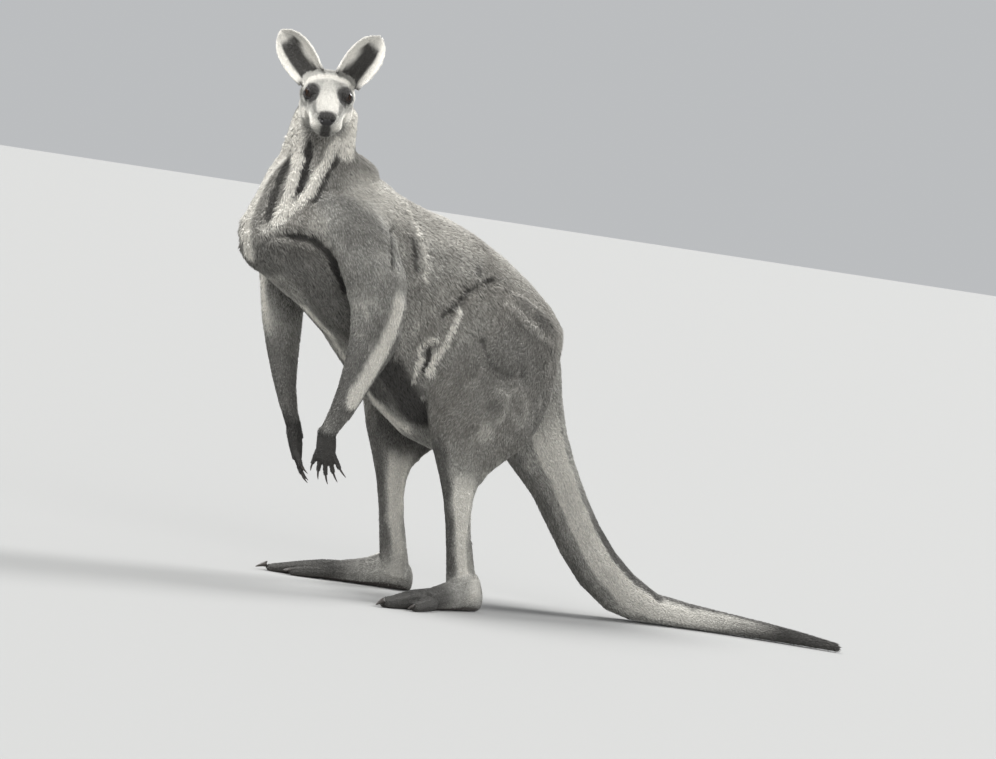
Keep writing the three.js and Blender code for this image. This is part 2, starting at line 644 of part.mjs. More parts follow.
for (const [side, s] of [
  ["left", 1],
  ["right", -1],
]) {
  // Hind leg: parted at the knee and at the ankle.
  const leg = legSolid(s).add(footSolid(s)).subtract(grownTrunk).subtract(grownTail);
  const knee = vector([s * 14, -11, 36]).multiplyScalar(CM);
  const [thigh, belowKnee] = partAt(leg, knee, new THREE.Vector3(0, 0.42, 0.9));
  const ankle = vector([s * 13.4, -2, 8.2]).multiplyScalar(CM);
  const [shank, foot] = partAt(belowKnee, ankle, new THREE.Vector3(0, -0.25, 1));
  addNode("thigh_" + side, thigh, FINISH.coat);
  addNode("shank_" + side, shank, FINISH.coat);
  addNode("foot_" + side, foot, FINISH.coatDark);
  const grownFoot = footSolid(s, GAP);
  for (const [toe, claw] of toeClaws(s)) {
    addNode(`claw_${toe}_toe_${side}`, claw.subtract(grownFoot), FINISH.horn);
  }

  // Arm: parted at the elbow and at the wrist.
  const arm = armSolid(side).add(handSolid(side, s)).subtract(grownTrunk).subtract(grownNeck);
  const { front, back } = ARMS[side][4];
  const elbow = vector(back).lerp(vector(front), 0.4).multiplyScalar(CM);
  const [upperArm, belowElbow] = partAt(arm, elbow, new THREE.Vector3(-s * 0.15, -0.25, 0.95));
  const wrist = vector(HANDS[side].at).multiplyScalar(CM);
  const [forearm, hand] = partAt(belowElbow, wrist, new THREE.Vector3(0, -0.1, 1));
  addNode("upper_arm_" + side, upperArm, FINISH.coat);
  addNode("forearm_" + side, forearm, FINISH.coat);
  addNode("hand_" + side, hand, FINISH.coatDark);
  const grownHand = handSolid(side, s, GAP);
  for (const [finger, claw] of fingerClaws(side, s)) {
    addNode(`claw_${finger}_${side}`, claw.subtract(grownHand), FINISH.horn);
  }
}

// The origin is the middle of the box that holds the animal, at floor level.
const hold = new THREE.Box3().setFromObject(kangaroo, true);
const middle = hold.getCenter(new THREE.Vector3());
kangaroo.position.set(-middle.x, -middle.y, 0);

export default kangaroo;
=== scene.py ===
"""A grown male eastern grey kangaroo standing at rest, as a life-size museum model."""

import math

import bpy
import numpy as np
from mathutils import Matrix, Vector, noise
from mathutils.bvhtree import BVHTree


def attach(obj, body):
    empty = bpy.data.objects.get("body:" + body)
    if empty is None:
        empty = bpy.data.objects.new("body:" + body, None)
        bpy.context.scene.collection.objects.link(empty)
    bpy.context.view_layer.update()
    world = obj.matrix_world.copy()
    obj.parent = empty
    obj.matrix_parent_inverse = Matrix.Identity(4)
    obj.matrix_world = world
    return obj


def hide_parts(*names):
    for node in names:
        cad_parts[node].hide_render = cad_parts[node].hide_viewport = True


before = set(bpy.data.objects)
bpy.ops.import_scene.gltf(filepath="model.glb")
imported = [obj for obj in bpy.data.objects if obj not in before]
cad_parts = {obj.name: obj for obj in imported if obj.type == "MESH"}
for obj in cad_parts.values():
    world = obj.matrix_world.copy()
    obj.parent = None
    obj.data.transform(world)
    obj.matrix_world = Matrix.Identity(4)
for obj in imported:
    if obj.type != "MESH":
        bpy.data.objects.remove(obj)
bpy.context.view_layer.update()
bpy.ops.object.select_all(action="DESELECT")

# ------------------------------------------------------------ the animal's measures
# Tables are in units of 9.5 mm, in the body's own frame: it faces -Y, and its left is +X.

UNIT = 0.0095
MIDDLE = Vector((0, -0.158, 0))
LEFT, RIGHT = 1, -1
SIDES = (("left", LEFT), ("right", RIGHT))
TAIL = ("tail_base", "tail_middle", "tail_tip")

body_frame = Matrix.Translation(MIDDLE) @ Matrix.Scale(UNIT, 4)
head_frame = (
    body_frame
    @ Matrix.Translation((7.4, -53.4, 106.6))
    @ Matrix.Rotation(math.radians(62), 4, "Z")
    @ Matrix.Rotation(math.radians(18), 4, "X")
    @ Matrix.Rotation(math.radians(-3), 4, "Y")
)


def ear_frame(s):
    """The frame of an ear: its foot at the origin, its leaf along +Z, open towards -Y."""
    splay = 35 if s == LEFT else 43
    return (
        head_frame
        @ Matrix.Translation((s * 3.6, 4.2, 3.6))
        @ Matrix.Rotation(math.radians(s * splay), 4, "Y")
        @ Matrix.Rotation(math.radians(-20), 4, "X")
        @ Matrix.Rotation(math.radians(-s * 8), 4, "Z")
    )


def foot_frame(s):
    """The frame of a foot: its heel at the origin on the floor, its toes towards -Y."""
    step = -1.5 if s < 0 else 0
    return (
        body_frame
        @ Matrix.Translation((s * 13.4, 1.6 + step, 0))
        @ Matrix.Rotation(math.radians(s * 20), 4, "Z")
    )


EYE_AT = {s: Vector((s * 3.9, -2.0, 2.15)) for s in (LEFT, RIGHT)}
EYE_RADIUS = 1.4
GAZE = {s: Vector((s * 0.82, -0.53, 0.2)).normalized() for s in (LEFT, RIGHT)}

# The line that the coat follows through each part, in the order in which it lies.
PATHS = {
    "neck": [(0, -49.4, 108), (0, -49, 103.5), (0, -48.4, 97), (0, -47.9, 90.4), (0, -45, 80)],
    "trunk": [(0, -57, 84), (0, -47.6, 79.9), (0, -40.6, 76.8), (0, -32, 72.4),
              (0, -23.2, 67.1), (0, -13.5, 61.4), (0, -3.2, 55.6), (0, 6.2, 52.4),
              (0, 14, 51.5), (0, 18.5, 51)],
    "tail": [(0, 9.5, 56), (0, 13.7, 50.8), (0, 16.6, 44.3), (0, 20.8, 37.3), (0, 26.2, 30.2),
             (0, 32.1, 22.2), (0.2, 38.8, 14.2), (0.8, 46.7, 7.5), (1.8, 56.6, 3.4),
             (4.6, 68.5, 2.6), (9.4, 79.3, 2.1), (15.4, 89, 1.6), (21.4, 97.2, 1)],
    "leg": [(8, 5.5, 68.3), (9.8, 3, 60.2), (11.4, -1, 52), (12.6, -5.4, 45), (13.2, -8.7, 39.5),
            (13.5, -9.6, 34.2), (13.6, -8.4, 28.3), (13.6, -7, 22.6), (13.5, -5, 15.2),
            (13.4, -3.2, 8.5), (13.4, -2, 4)],
    "foot": [(0, -1, 5), (0, -6, 4.4), (0, -12, 2.6), (0, -18, 2), (0, -27, 1.4), (0, -33, 1.2)],
    "head": [(0, -14, -0.6), (0, -8, -0.4), (0, -2, -0.6), (0, 4, -0.8), (0, 9, -1.5)],
    "ear": [(0, 0, -1), (0, 0, 3), (0, 0.4, 8), (0, 1, 13.2)],
    "arm_left": [(8.5, -46, 86.5), (12.8, -43.2, 79.5), (15.6, -39.7, 70.9), (16.1, -37.8, 64.4),
                 (16, -37.2, 58.5), (15.3, -38.1, 52.5), (14.2, -39, 46.7), (13.3, -40.3, 41.1),
                 (12.8, -41.7, 37.6), (12.5, -42.7, 34.6), (12.3, -43.8, 30), (12, -45, 25.5)],
    "arm_right": [(-8.5, -46, 86.5), (-12.8, -44.3, 79.5), (-15.4, -43.2, 70.5),
                  (-15.7, -43, 63.2), (-15.5, -42, 55.3), (-14.6, -41, 48.6), (-13, -39.6, 41),
                  (-11.8, -37.5, 35.3), (-11.2, -36.6, 32), (-10.9, -38, 27), (-10.7, -39.5, 22.5)],
}

# For each part: the coat's depth, a tuft's length and width in millimetres, and how many
# tufts grow on a square centimetre.
COAT = {
    "trunk": (5.6, 12.5, 2.1, 12.3),
    "neck": (5.2, 11.5, 1.9, 13.5),
    "tail_base": (4.6, 11.0, 1.9, 12),
    "tail_middle": (3.6, 10.0, 1.8, 12.5),
    "tail_tip": (2.6, 9.0, 1.7, 13),
    "thigh": (4.8, 11.0, 2.0, 12.5),
    "shank": (2.4, 7.6, 1.6, 14),
    "foot": (1.0, 5.2, 1.3, 22),
    "upper_arm": (4.2, 10.5, 1.9, 12.5),
    "forearm": (2.8, 8.5, 1.7, 13),
    "hand": (0.9, 3.8, 1.1, 20),
    "head": (2.0, 5.0, 0.95, 40),
    "ear": (0.55, 4.0, 0.9, 28),
}

# Ridges and folds of the body. Those beside the middle lie on both sides.
BAND = [(0.2, -56.2, 99.5), (2.2, -56.5, 95.9), (4.2, -56.6, 92.8), (5.0, -57.7, 89.6),
        (6.2, -58.4, 85.9), (6.8, -59.7, 81.4), (6.8, -61.2, 78.6)]
SIDE_BAND = [(7.4, -49.0, 98.1), (7.2, -50.3, 96.1), (7.7, -51.9, 92.2), (8.2, -53.8, 88.7),
             (8.5, -54.8, 86.4), (8.3, -56.5, 84.0), (7.4, -58.8, 81.6)]
WEDGE = [(4.9, -54.7, 96.8), (5.8, -54.9, 92.7), (6.5, -56.0, 89.3), (7.1, -56.8, 86.6)]
SIDE_STRIPE = [(7.4, -47.2, 96.3), (7.9, -48.8, 94.4), (8.5, -51.0, 90.8), (9.0, -52.6, 87.8),
               (9.6, -53.6, 85.3)]
INNER_STRIPE = [(1.7, -57.8, 92.3), (2.7, -59.3, 88.9), (3.6, -61.0, 84.2),
                (4.6, -62.2, 79.7)]
CHEST_SPLIT = [(0, -63.6, 77), (0, -61, 69), (0, -52, 61)]
PECTORAL = [(2.2, -62.9, 72.1), (4.6, -62.7, 73.3), (7.1, -61.7, 76.3), (10.0, -58.7, 76.8),
            (12.1, -53.6, 76.8), (12.5, -50.8, 74.8), (12.5, -47.7, 71.7), (11.0, -43.1, 65.9)]
SHOULDER_CUT = [(13.4, -35.2, 81.6), (16.0, -36.4, 79.4), (18.2, -36.9, 76.5),
                (19.4, -36.9, 73.4)]
BEHIND_ARM = [(13.4, -29.0, 79.4), (14.0, -28.6, 77.2), (14.6, -28.0, 73.8)]
BLADE = [(8.2, -30.4, 87.6), (9.4, -29.4, 86.0), (10.8, -28.9, 84.0), (12.3, -27.5, 81.3),
         (13.3, -25.9, 78.5), (14.3, -25.5, 75.5), (14.9, -25.5, 71.5)]
THIGH_FOLD = [(11.9, -6.4, 74.2), (13.3, -9.5, 72.5), (14.2, -12.4, 70.9), (14.9, -14.9, 68.9),
              (15.4, -17.2, 66.4), (15.5, -19.8, 64.2)]
THIGH_EDGE = [(15.5, -15.6, 65.6), (15.5, -16.4, 63.4), (15.3, -17.5, 60.4),
              (15.0, -18.4, 56.9), (14.2, -19.1, 54.0), (13.2, -19.6, 50.6)]
FLANK_WEB = [(11.6, -21.8, 49.3), (13.0, -23.2, 53.4), (14.0, -23.5, 57.0),
             (14.7, -21.9, 58.6), (14.9, -20.0, 59.0)]
FLANK_HOLLOW = [(14.3, -21.0, 56.4), (14.1, -20.5, 54.4), (13.0, -20.8, 51.4)]
HAM_FOLD = [(16.1, -8.9, 60.3), (17.0, -8.1, 58.7), (17.9, -7.4, 56.3), (18.3, -6.2, 54.6),
            (18.5, -2.7, 53.7), (18.2, 1.7, 54.0)]
RUMP_RIDGE = [(13.5, -2.0, 68.7), (15.1, 1.3, 65.9), (15.3, 5.9, 63.5), (14.2, 10.2, 61.4)]
KNEE_LOOP = [(19.2, -8.5, 40.6), (19.2, -8.8, 44.6), (19.2, -7.8, 47.4), (19.1, -5.2, 49.5),
             (19.2, -2.2, 48.5), (19.2, -1.8, 45.4), (19.3, -3.2, 43.0)]
CALF_LOOP = [(19.2, -2.2, 48.5), (18.7, 0.4, 50.5), (18.4, 3.2, 48.5), (18.1, 3.9, 42.9)]
SHIN = [(13.8, -14.6, 33), (13.7, -11, 25), (13.6, -8.6, 17), (13.5, -7.4, 10)]
HAMSTRING = [(13.6, -2.2, 30), (13.6, -2.4, 22), (13.6, -1.3, 14), (13.5, 0.6, 8)]
HEEL_HOLLOW = [(15.8, -4.4, 20), (15.6, -3.6, 14), (15.5, -2.4, 9)]
TAIL_SIDE = [(7.6, 14, 52), (7.0, 18.5, 42), (6.0, 24.5, 32), (5.2, 31.5, 22)]
NAPE = [(0, -37.5, 96), (0, -34.6, 93.4), (0, -32.2, 91.6)]
WITHERS = [(0, -26.5, 89.2), (0, -21, 87.5)]
NECK_BACK = [(-1, -41.6, 106), (-0.5, -41, 102), (0, -40.5, 98.5)]

# The width and height of each, in the table's units.
RELIEF = [
    (BAND, 0.95, 0.4), (SIDE_BAND, 0.95, 0.4), (WEDGE, 1.1, -0.55), (SIDE_STRIPE, 1.0, -0.4),
    (INNER_STRIPE, 1.3, -0.3), (PECTORAL, 1.1, -0.8), (SHOULDER_CUT, 1.1, -0.9),
    (BEHIND_ARM, 1.2, -0.6), (BLADE, 1.0, 0.6), (THIGH_FOLD, 1.1, -1.6),
    (THIGH_EDGE, 0.9, 0.85), (FLANK_WEB, 0.75, 0.9), (FLANK_HOLLOW, 1.7, -1.5),
    (HAM_FOLD, 1.1, -1.0), (RUMP_RIDGE, 1.5, 0.45), (KNEE_LOOP, 0.8, 0.35),
    (CALF_LOOP, 0.8, 0.3), (SHIN, 0.8, 0.3), (HAMSTRING, 0.8, 0.35), (HEEL_HOLLOW, 1.0, -0.4),
    (TAIL_SIDE, 2.2, -0.3),
]


# ------------------------------------------------------------ small helpers


def points_of(mesh):
    flat = np.empty(len(mesh.vertices) * 3, np.float32)
    mesh.vertices.foreach_get("co", flat)
    return flat.reshape(-1, 3).astype(float)


def move_points(mesh, points):
    mesh.vertices.foreach_set("co", points.astype(np.float32).ravel())
    mesh.update()


def normals_of(mesh):
    flat = np.empty(len(mesh.vertices) * 3, np.float32)
    mesh.vertices.foreach_get("normal", flat)
    return flat.reshape(-1, 3).astype(float)


def triangles_of(mesh):
    mesh.calc_loop_triangles()
    flat = np.empty(len(mesh.loop_triangles) * 3, np.int32)
    mesh.loop_triangles.foreach_get("vertices", flat)
    return flat.reshape(-1, 3)


def into(matrix, points):
    """Points of the row's frame seen in another frame."""
    m = np.array(matrix.inverted())
    return points @ m[:3, :3].T + m[:3, 3]


def turned(matrix, ways):
    """Directions of the row's frame seen in another frame, as unit vectors."""
    m = np.array(matrix.to_3x3().inverted())
    return unit(ways @ m.T)


def unit(ways):
    return ways / np.maximum(np.linalg.norm(ways, axis=-1, keepdims=True), 1e-12)


def ease(low, high, values):
    """0 below low, 1 above high, and smooth between them."""
    t = np.clip((values - low) / (high - low), 0, 1)
    return t * t * (3 - 2 * t)


def hump(values, middle, half):
    """1 at the middle, falling smoothly to 0 at half to each side."""
    return 1 - ease(0, half, np.abs(values - middle))


def along(path, points):
    """For each point, the nearest place on a path: distance, way, share of length, offset."""
    path = np.array(path, float)
    steps = path[1:] - path[:-1]
    lengths = np.linalg.norm(steps, axis=1)
    starts = np.concatenate([[0], np.cumsum(lengths)])[:-1]
    best = np.full(len(points), np.inf)
    way = np.zeros((len(points), 3))
    share = np.zeros(len(points))
    offset = np.zeros((len(points), 3))
    for a, step, length, start in zip(path[:-1], steps, lengths, starts):
        t = np.clip((points - a) @ step / length**2, 0, 1)
        off = points - a - t[:, None] * step
        far = np.linalg.norm(off, axis=1)
        near = far < best
        best[near] = far[near]
        way[near] = step / length
        share[near] = (start + t[near] * length) / lengths.sum()
        offset[near] = off[near]
    return best, way, share, offset


def mirror(line):
    """The same line on the other side of the body."""
    return [(-x, y, z) for x, y, z in line]


def folded(places):
    """The same places with the right side laid over the left."""
    return np.abs(places) * (1, 0, 0) + places * (0, 1, 1)


def set_values(mesh, name, values):
    """Writes one number for each point of a mesh as a named attribute."""
    attribute = mesh.attributes.new(name, "FLOAT", "POINT")
    attribute.data.foreach_set("value", values.astype(np.float32))


def apply_modifier(obj, kind, **settings):
    bpy.ops.object.select_all(action="DESELECT")
    bpy.context.view_layer.objects.active = obj
    obj.select_set(True)
    modifier = obj.modifiers.new(kind.title(), kind)
    for key, value in settings.items():
        setattr(modifier, key, value)
    bpy.ops.object.modifier_apply(modifier=modifier.name)


def copy_nodes(name, nodes):
    """One object with merged copies of the named solids."""
    bpy.ops.object.select_all(action="DESELECT")
    for node in nodes:
        piece = bpy.data.objects.new(name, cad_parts[node].data.copy())
        bpy.context.collection.objects.link(piece)
        piece.select_set(True)
        bpy.context.view_layer.objects.active = piece
    bpy.ops.object.join()
    made = bpy.context.object
    made.data.materials.clear()
    bpy.ops.object.mode_set(mode="EDIT")
    bpy.ops.mesh.select_all(action="SELECT")
    bpy.ops.mesh.remove_doubles(threshold=1e-6)
    bpy.ops.object.mode_set(mode="OBJECT")
    made.name = name
    made.data.name = name
    return made


def weigh(obj, name, weights):
    """Makes a vertex group with these weights, in fine steps."""
    group = obj.vertex_groups.new(name=name)
    steps = np.round(np.clip(weights, 0, 1) * 250).astype(int)
    for step in np.unique(steps):
        group.add(np.nonzero(steps == step)[0].tolist(), step / 250, "REPLACE")


# ------------------------------------------------------------ camera

CAMERA_TURN = math.radians(57)
CAMERA_RISE = math.radians(3)
CAMERA_ROLL = math.radians(9.5)
CAMERA_FAR = 11.4
AIM_ACROSS = 0.0551
AIM_UP = 0.4864

ACROSS = Vector((math.cos(CAMERA_TURN), math.sin(CAMERA_TURN), 0))
TOWARDS = Vector((math.sin(CAMERA_TURN) * math.cos(CAMERA_RISE),
                  -math.cos(CAMERA_TURN) * math.cos(CAMERA_RISE),
                  math.sin(CAMERA_RISE)))
UPWARDS = TOWARDS.cross(ACROSS)

aim = MIDDLE + ACROSS * AIM_ACROSS + UPWARDS * AIM_UP
bpy.ops.object.camera_add(location=aim + TOWARDS * CAMERA_FAR)
camera = bpy.context.object
camera.name = "camera"
camera.rotation_euler = Matrix((
    ACROSS * math.cos(CAMERA_ROLL) + UPWARDS * math.sin(CAMERA_ROLL),
    UPWARDS * math.cos(CAMERA_ROLL) - ACROSS * math.sin(CAMERA_ROLL),
    TOWARDS,
)).transposed().to_euler()
camera.data.lens = 193
camera.data.sensor_width = 36
camera.data.clip_end = 200
bpy.context.scene.camera = camera

# ------------------------------------------------------------ skin

flesh = [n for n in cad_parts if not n.startswith("claw")]
eyes = [n for n in flesh if n.startswith("eye")]
skin = copy_nodes("skin", flesh)
MEETING = 0.0005  # how far the solids grow to meet over the thin cuts between them
VOXEL = 0.0022
THINNED = 0.125  # the share of the faces that stays on the body
labels = sorted(COAT, key=len, reverse=True)


def label_of(node):
    return next((k for k in labels if node.startswith(k)), "head")


# The solids as one tree of faces, to tell which part a point of the skin belongs to.
corners, faces, owners = [], [], []
for node in flesh:
    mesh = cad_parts[node].data
    tris = triangles_of(mesh)
    faces.extend((tris + len(corners)).tolist())
    corners.extend(points_of(mesh).tolist())
    owners.extend([node] * len(tris))
solids = BVHTree.FromPolygons(corners, faces)

apply_modifier(skin, "DISPLACE", strength=MEETING, mid_level=0)
apply_modifier(skin, "REMESH", mode="VOXEL", voxel_size=VOXEL, use_smooth_shade=True)


def owners_at(points):
    """The name of the solid that each point lies on."""
    return np.array([owners[solids.find_nearest(p)[2]] for p in points.tolist()])


def by_label(names, table):
    """One number for each point, looked up by the part that the point belongs to."""
    kinds, where = np.unique(names, return_inverse=True)
    return np.array([table[label_of(k)] for k in kinds])[where]


def soften(mesh, values, times):
    """Averages values over each point's neighbours, again and again."""
    ends = np.empty(len(mesh.edges) * 2, np.int32)
    mesh.edges.foreach_get("vertices", ends)
    a, b = ends[0::2], ends[1::2]
    count = len(mesh.vertices)
    degree = np.bincount(a, minlength=count) + np.bincount(b, minlength=count)
    flat = values.reshape(count, -1).astype(float)
    for _ in range(times):
        flat = np.stack([
            np.bincount(a, column[b], count) + np.bincount(b, column[a], count)
            for column in flat.T
        ], axis=1) / degree[:, None]
    return flat.reshape(values.shape)


# How far the facets are smoothed, in millimetres: far on the broad body, little on the face.
SMOOTH = {"trunk": 16, "neck": 11, "tail_base": 10, "tail_middle": 7.5, "tail_tip": 4.5,
          "thigh": 13, "shank": 6, "foot": 3.4, "upper_arm": 10, "forearm": 6, "hand": 2.2,
          "head": 3.6, "ear": 1.6}
part_of = owners_at(points_of(skin.data))
widest = max(SMOOTH.values())
weigh(skin, "smooth", soften(skin.data, (by_label(part_of, SMOOTH) / widest) ** 2, 12))
apply_modifier(skin, "SMOOTH", factor=0.5, iterations=160, vertex_group="smooth")
# The mesh is thinned out everywhere but on the face and hands.
kept = {label: float(label in ("head", "hand")) for label in COAT}
weigh(skin, "thin", 1 - by_label(part_of, kept))
apply_modifier(skin, "DECIMATE", ratio=THINNED, vertex_group="thin", vertex_group_factor=1)


# The mesh is made twice as fine at the folds, round the eyes, the nose and the mouth.
def refine(obj, chosen):
    """Subdivides the faces whose points are all chosen."""
    mesh = obj.data
    mesh.polygons.foreach_set("select", np.zeros(len(mesh.polygons), bool))
    mesh.edges.foreach_set("select", np.zeros(len(mesh.edges), bool))
    mesh.vertices.foreach_set("select", chosen)
    ends = np.empty(len(mesh.edges) * 2, np.int32)
    mesh.edges.foreach_get("vertices", ends)
    mesh.edges.foreach_set("select", chosen[ends[0::2]] & chosen[ends[1::2]])
    picked = [bool(chosen[list(p.vertices)].all()) for p in mesh.polygons]
    mesh.polygons.foreach_set("select", picked)
    bpy.ops.object.mode_set(mode="EDIT")
    bpy.ops.mesh.select_mode(type="FACE")
    bpy.ops.mesh.subdivide(number_cuts=1)
    bpy.ops.object.mode_set(mode="OBJECT")


MOUTH = [(0, -12.9, -2.55), (1.5, -12.1, -2.6), (2.5, -10.4, -2.55), (3.0, -8.4, -2.4),
         (3.2, -6.6, -2.1)]

face = into(head_frame, points_of(skin.data))
mirrored = folded(face)
near_eye = np.linalg.norm(mirrored - np.array(EYE_AT[LEFT]), axis=1) < 2.5
near_mouth = along(MOUTH, mirrored)[0] < 0.7
near_nose = np.linalg.norm(mirrored - (0.8, -13, -0.4), axis=1) < 1.9
body = into(body_frame, points_of(skin.data))
near_fold = np.zeros(len(body), bool)
for line, width, height in RELIEF:
    for flip in (list, mirror):
        near_fold |= along(flip(line), body)[0] < width * 1.5
near_fold &= body[:, 2] < 99
refine(skin, near_eye | near_mouth | near_nose | near_fold)
apply_modifier(skin, "TRIANGULATE")

# ------------------------------------------------------------ shaping the skin

mesh = skin.data
part_of = owners_at(points_of(mesh))
part = np.array([label_of(p) for p in part_of])
on_left = np.array([p.endswith("left") for p in part_of])
depth = soften(mesh, by_label(part_of, {k: v[0] for k, v in COAT.items()}), 6) / 1000

# The coat stands out over the skin, so the skin lies that much inside the solids.
unfolded = points_of(mesh)
move_points(mesh, points_of(mesh) - normals_of(mesh) * depth[:, None])


def bump(points, centre, radii, height):
    """A rounded rise round a place: 0 outside the radii."""
    far = np.linalg.norm((points - centre) / np.array(radii, float), axis=1)
    return height * np.clip(1 - far**2, 0, 1) ** 2


def crease(points, line, width, height):
    """A fold or, with a positive height, a ridge along a line."""
    return height * np.exp(-((along(line, points)[0] / width) ** 2))


body = into(body_frame, points_of(mesh))
rise = crease(body, CHEST_SPLIT, 1.5, -0.5)
# The neck widens smoothly into the shoulders, and the breast is full below.
rise += crease(body, NAPE, 3.4, 0.7)
rise += bump(body, (-1.5, -61, 70.5), (7, 6, 5.5), 0.9)
rise += crease(body, NECK_BACK, 4.5, -0.8) + crease(body, WITHERS, 4.5, -0.5)
for line, width, height in RELIEF:
    for flip in (list, mirror):
        rise += crease(body, flip(line), width, height)

# The foot: grooves between its toes and a ridge along the long one.
FOOT_LINES = [
    ([(1.9, -19, 3.6), (2.5, -23, 2.6), (2.7, -27, 1.8)], 0.5, -0.5),
    ([(-1.9, -19.5, 3.4), (-2.0, -23, 2.6), (-2.0, -27, 1.8)], 0.45, -0.5),
    ([(-3.3, -22, 2.8), (-3.5, -28, 2.0)], 0.25, -0.22),
    ([(0, -14, 4.8), (0, -24, 3.8), (0, -30, 2.8)], 0.9, 0.22),
]
for s in (LEFT, RIGHT):
    foot = into(foot_frame(s), points_of(mesh)) * (s, 1, 1)
    here = (part == "foot") & (on_left == (s == LEFT))
    for line, width, height in FOOT_LINES:
        rise += here * crease(foot, line, width, height)

move_points(mesh, points_of(mesh) + normals_of(mesh) * (rise * UNIT)[:, None])

# ------------------------------------------------------------ the face

BROW = [(2.4, -3.4, 4.2), (3.4, -1.9, 4.35), (4.4, -0.6, 3.7)]
CHEEKBONE = [(4.2, -4.4, 0.9), (5.0, -1.6, 0.3), (5.6, 1.4, -0.2), (5.6, 3.6, 0.2)]
EYE_HOLLOW = [(2.9, -5.4, 2.3), (3.3, -4.2, 2.5)]
NOSE_SIDE = [(2.6, -11.2, 0.9), (2.9, -8.6, 1.5), (3.0, -6.0, 2.0)]
NOSTRIL = [(1.05, -13.4, 0.15), (1.55, -13.1, 0.35), (1.75, -12.7, 0.75)]
LIP_SPLIT = [(0, -14.0, -0.7), (0, -13.6, -1.6), (0, -13.0, -2.5)]

face = into(head_frame, points_of(mesh))
both = folded(face)
on_head = part == "head"
FACE_LINES = [
    (BROW, 0.55, 0.22), (CHEEKBONE, 0.9, 0.28), (EYE_HOLLOW, 0.7, -0.22), (NOSE_SIDE, 0.8, -0.16),
    (MOUTH, 0.17, -0.34), ([(x, y, z - 0.55) for x, y, z in MOUTH], 0.5, 0.12),
    ([(x, y, z + 0.65) for x, y, z in MOUTH], 0.6, 0.14), (LIP_SPLIT, 0.16, -0.2),
    (NOSTRIL, 0.26, -0.5),
]
# The nose's leather, the hollow before the ear, the chin, and the nostril's rim.
FACE_ROUNDS = [
    ((0.75, -13.2, -0.1), (1.0, 1.2, 1.0), 0.16), ((4.6, 2.4, 2.6), (2.0, 2.2, 1.6), -0.3),
    ((0.0, -11.6, -4.3), (1.8, 1.6, 1.2), 0.15), ((1.7, -12.9, 1.0), (0.8, 0.7, 0.5), 0.12),
]
rise = sum(crease(both, *row) for row in FACE_LINES) + sum(bump(both, *row) for row in FACE_ROUNDS)
lift = normals_of(mesh) * (rise * on_head * UNIT)[:, None]
move_points(mesh, points_of(mesh) + lift)


def eye_axes(s):
    """The way an eye looks, the way to its front corner, and the way up, in the row's frame."""
    m = head_frame.to_3x3()
    gaze = (m @ GAZE[s]).normalized()
    front = m @ Vector((-s * 0.35, -0.85, -0.32))
    front = (front - gaze * front.dot(gaze)).normalized()
    up = front.cross(gaze) * s
    return np.array(gaze), np.array(front), np.array(up if up.z > 0 else -up)


# The lids close over the eyeball all round an almond opening.
lid = np.zeros(len(body))
socket = np.zeros(len(body))
points = points_of(mesh)
for s in (LEFT, RIGHT):
    centre = np.array(head_frame @ EYE_AT[s])
    radius = EYE_RADIUS * UNIT
    gaze, front, up = eye_axes(s)
    ways = points - centre
    far = np.linalg.norm(ways, axis=1)
    ways = unit(ways)
    a, b, c = ways @ front, ways @ up, ways @ gaze
    high = np.where(b > 0, 0.60, 0.50)
    ring = (np.abs(a / 0.86) ** 1.7 + np.abs(b / high) ** 1.9) ** 0.55
    facing = (c > 0.05) & (far < radius * 2.2)
    inside = facing * (1 - ease(0.94, 1.06, ring))
    over = facing * (1 - ease(1.35, 2.0, ring)) * (1 - inside)
    lids = np.maximum(far, radius * 1.09)
    lids = lids * (1 - over) + over * (radius * (1.10 + 0.05 * hump(ring, 1.18, 0.3)))
    target = np.where(facing, lids * (1 - inside) + radius * 0.72 * inside, far)
    moved = facing & (ring < 2.0)
    points[moved] = centre + ways[moved] * target[moved, None]
    lid = np.maximum(lid, facing * hump(ring, 1.08, 0.34))
    socket = np.maximum(socket, inside)
move_points(mesh, points)
mesh.polygons.foreach_set("use_smooth", np.ones(len(mesh.polygons), bool))

# ------------------------------------------------------------ lie of the coat


def course(label, s):
    """The frame and the line that the coat follows on a part."""
    if label == "head":
        return head_frame, PATHS["head"]
    if label == "ear":
        return ear_frame(s), PATHS["ear"]
    if label == "foot":
        return foot_frame(s), PATHS["foot"]
    if label in ("thigh", "shank"):
        step = 1.5 if s < 0 else 0
        return body_frame, [(s * x, y - step * (1 - z / 75), z) for x, y, z in PATHS["leg"]]
    if label in ("upper_arm", "forearm", "hand"):
        return body_frame, PATHS["arm_left" if s > 0 else "arm_right"]
    return body_frame, PATHS["tail" if label.startswith("tail") else label]


def lie_of(points, part, on_left):
    """The way the coat lies, the turn round its part, the share along it, and its grain."""
    lie = np.zeros_like(points)
    turn = np.zeros(len(points))
    share = np.zeros(len(points))
    grain = np.zeros_like(points)
    for label in COAT:
        for s in (LEFT, RIGHT):
            here = (part == label) & (on_left == (s == LEFT))
            if not here.any():
                continue
            home, path = course(label, s)
            far, way, part_share, offset = along(path, into(home, points[here]))
            across = unit(np.array([1.0, 0, 0]) - way * way[:, :1])
            above = np.cross(way, across)
            lie[here] = unit(way @ np.array(home.to_3x3()).T)
            turn[here] = np.arctan2((offset * across).sum(1), (offset * above).sum(1))
            share[here] = part_share
            reach = np.linalg.norm(np.diff(np.array(path), axis=0), axis=1).sum()
            grain[here, 0] = turn[here] * np.median(far) * UNIT
            grain[here, 1] = part_share * reach * UNIT
    return lie, turn, share, grain


points = points_of(mesh)
normals = normals_of(mesh)
flow, _, _, grain = lie_of(points, part, on_left)
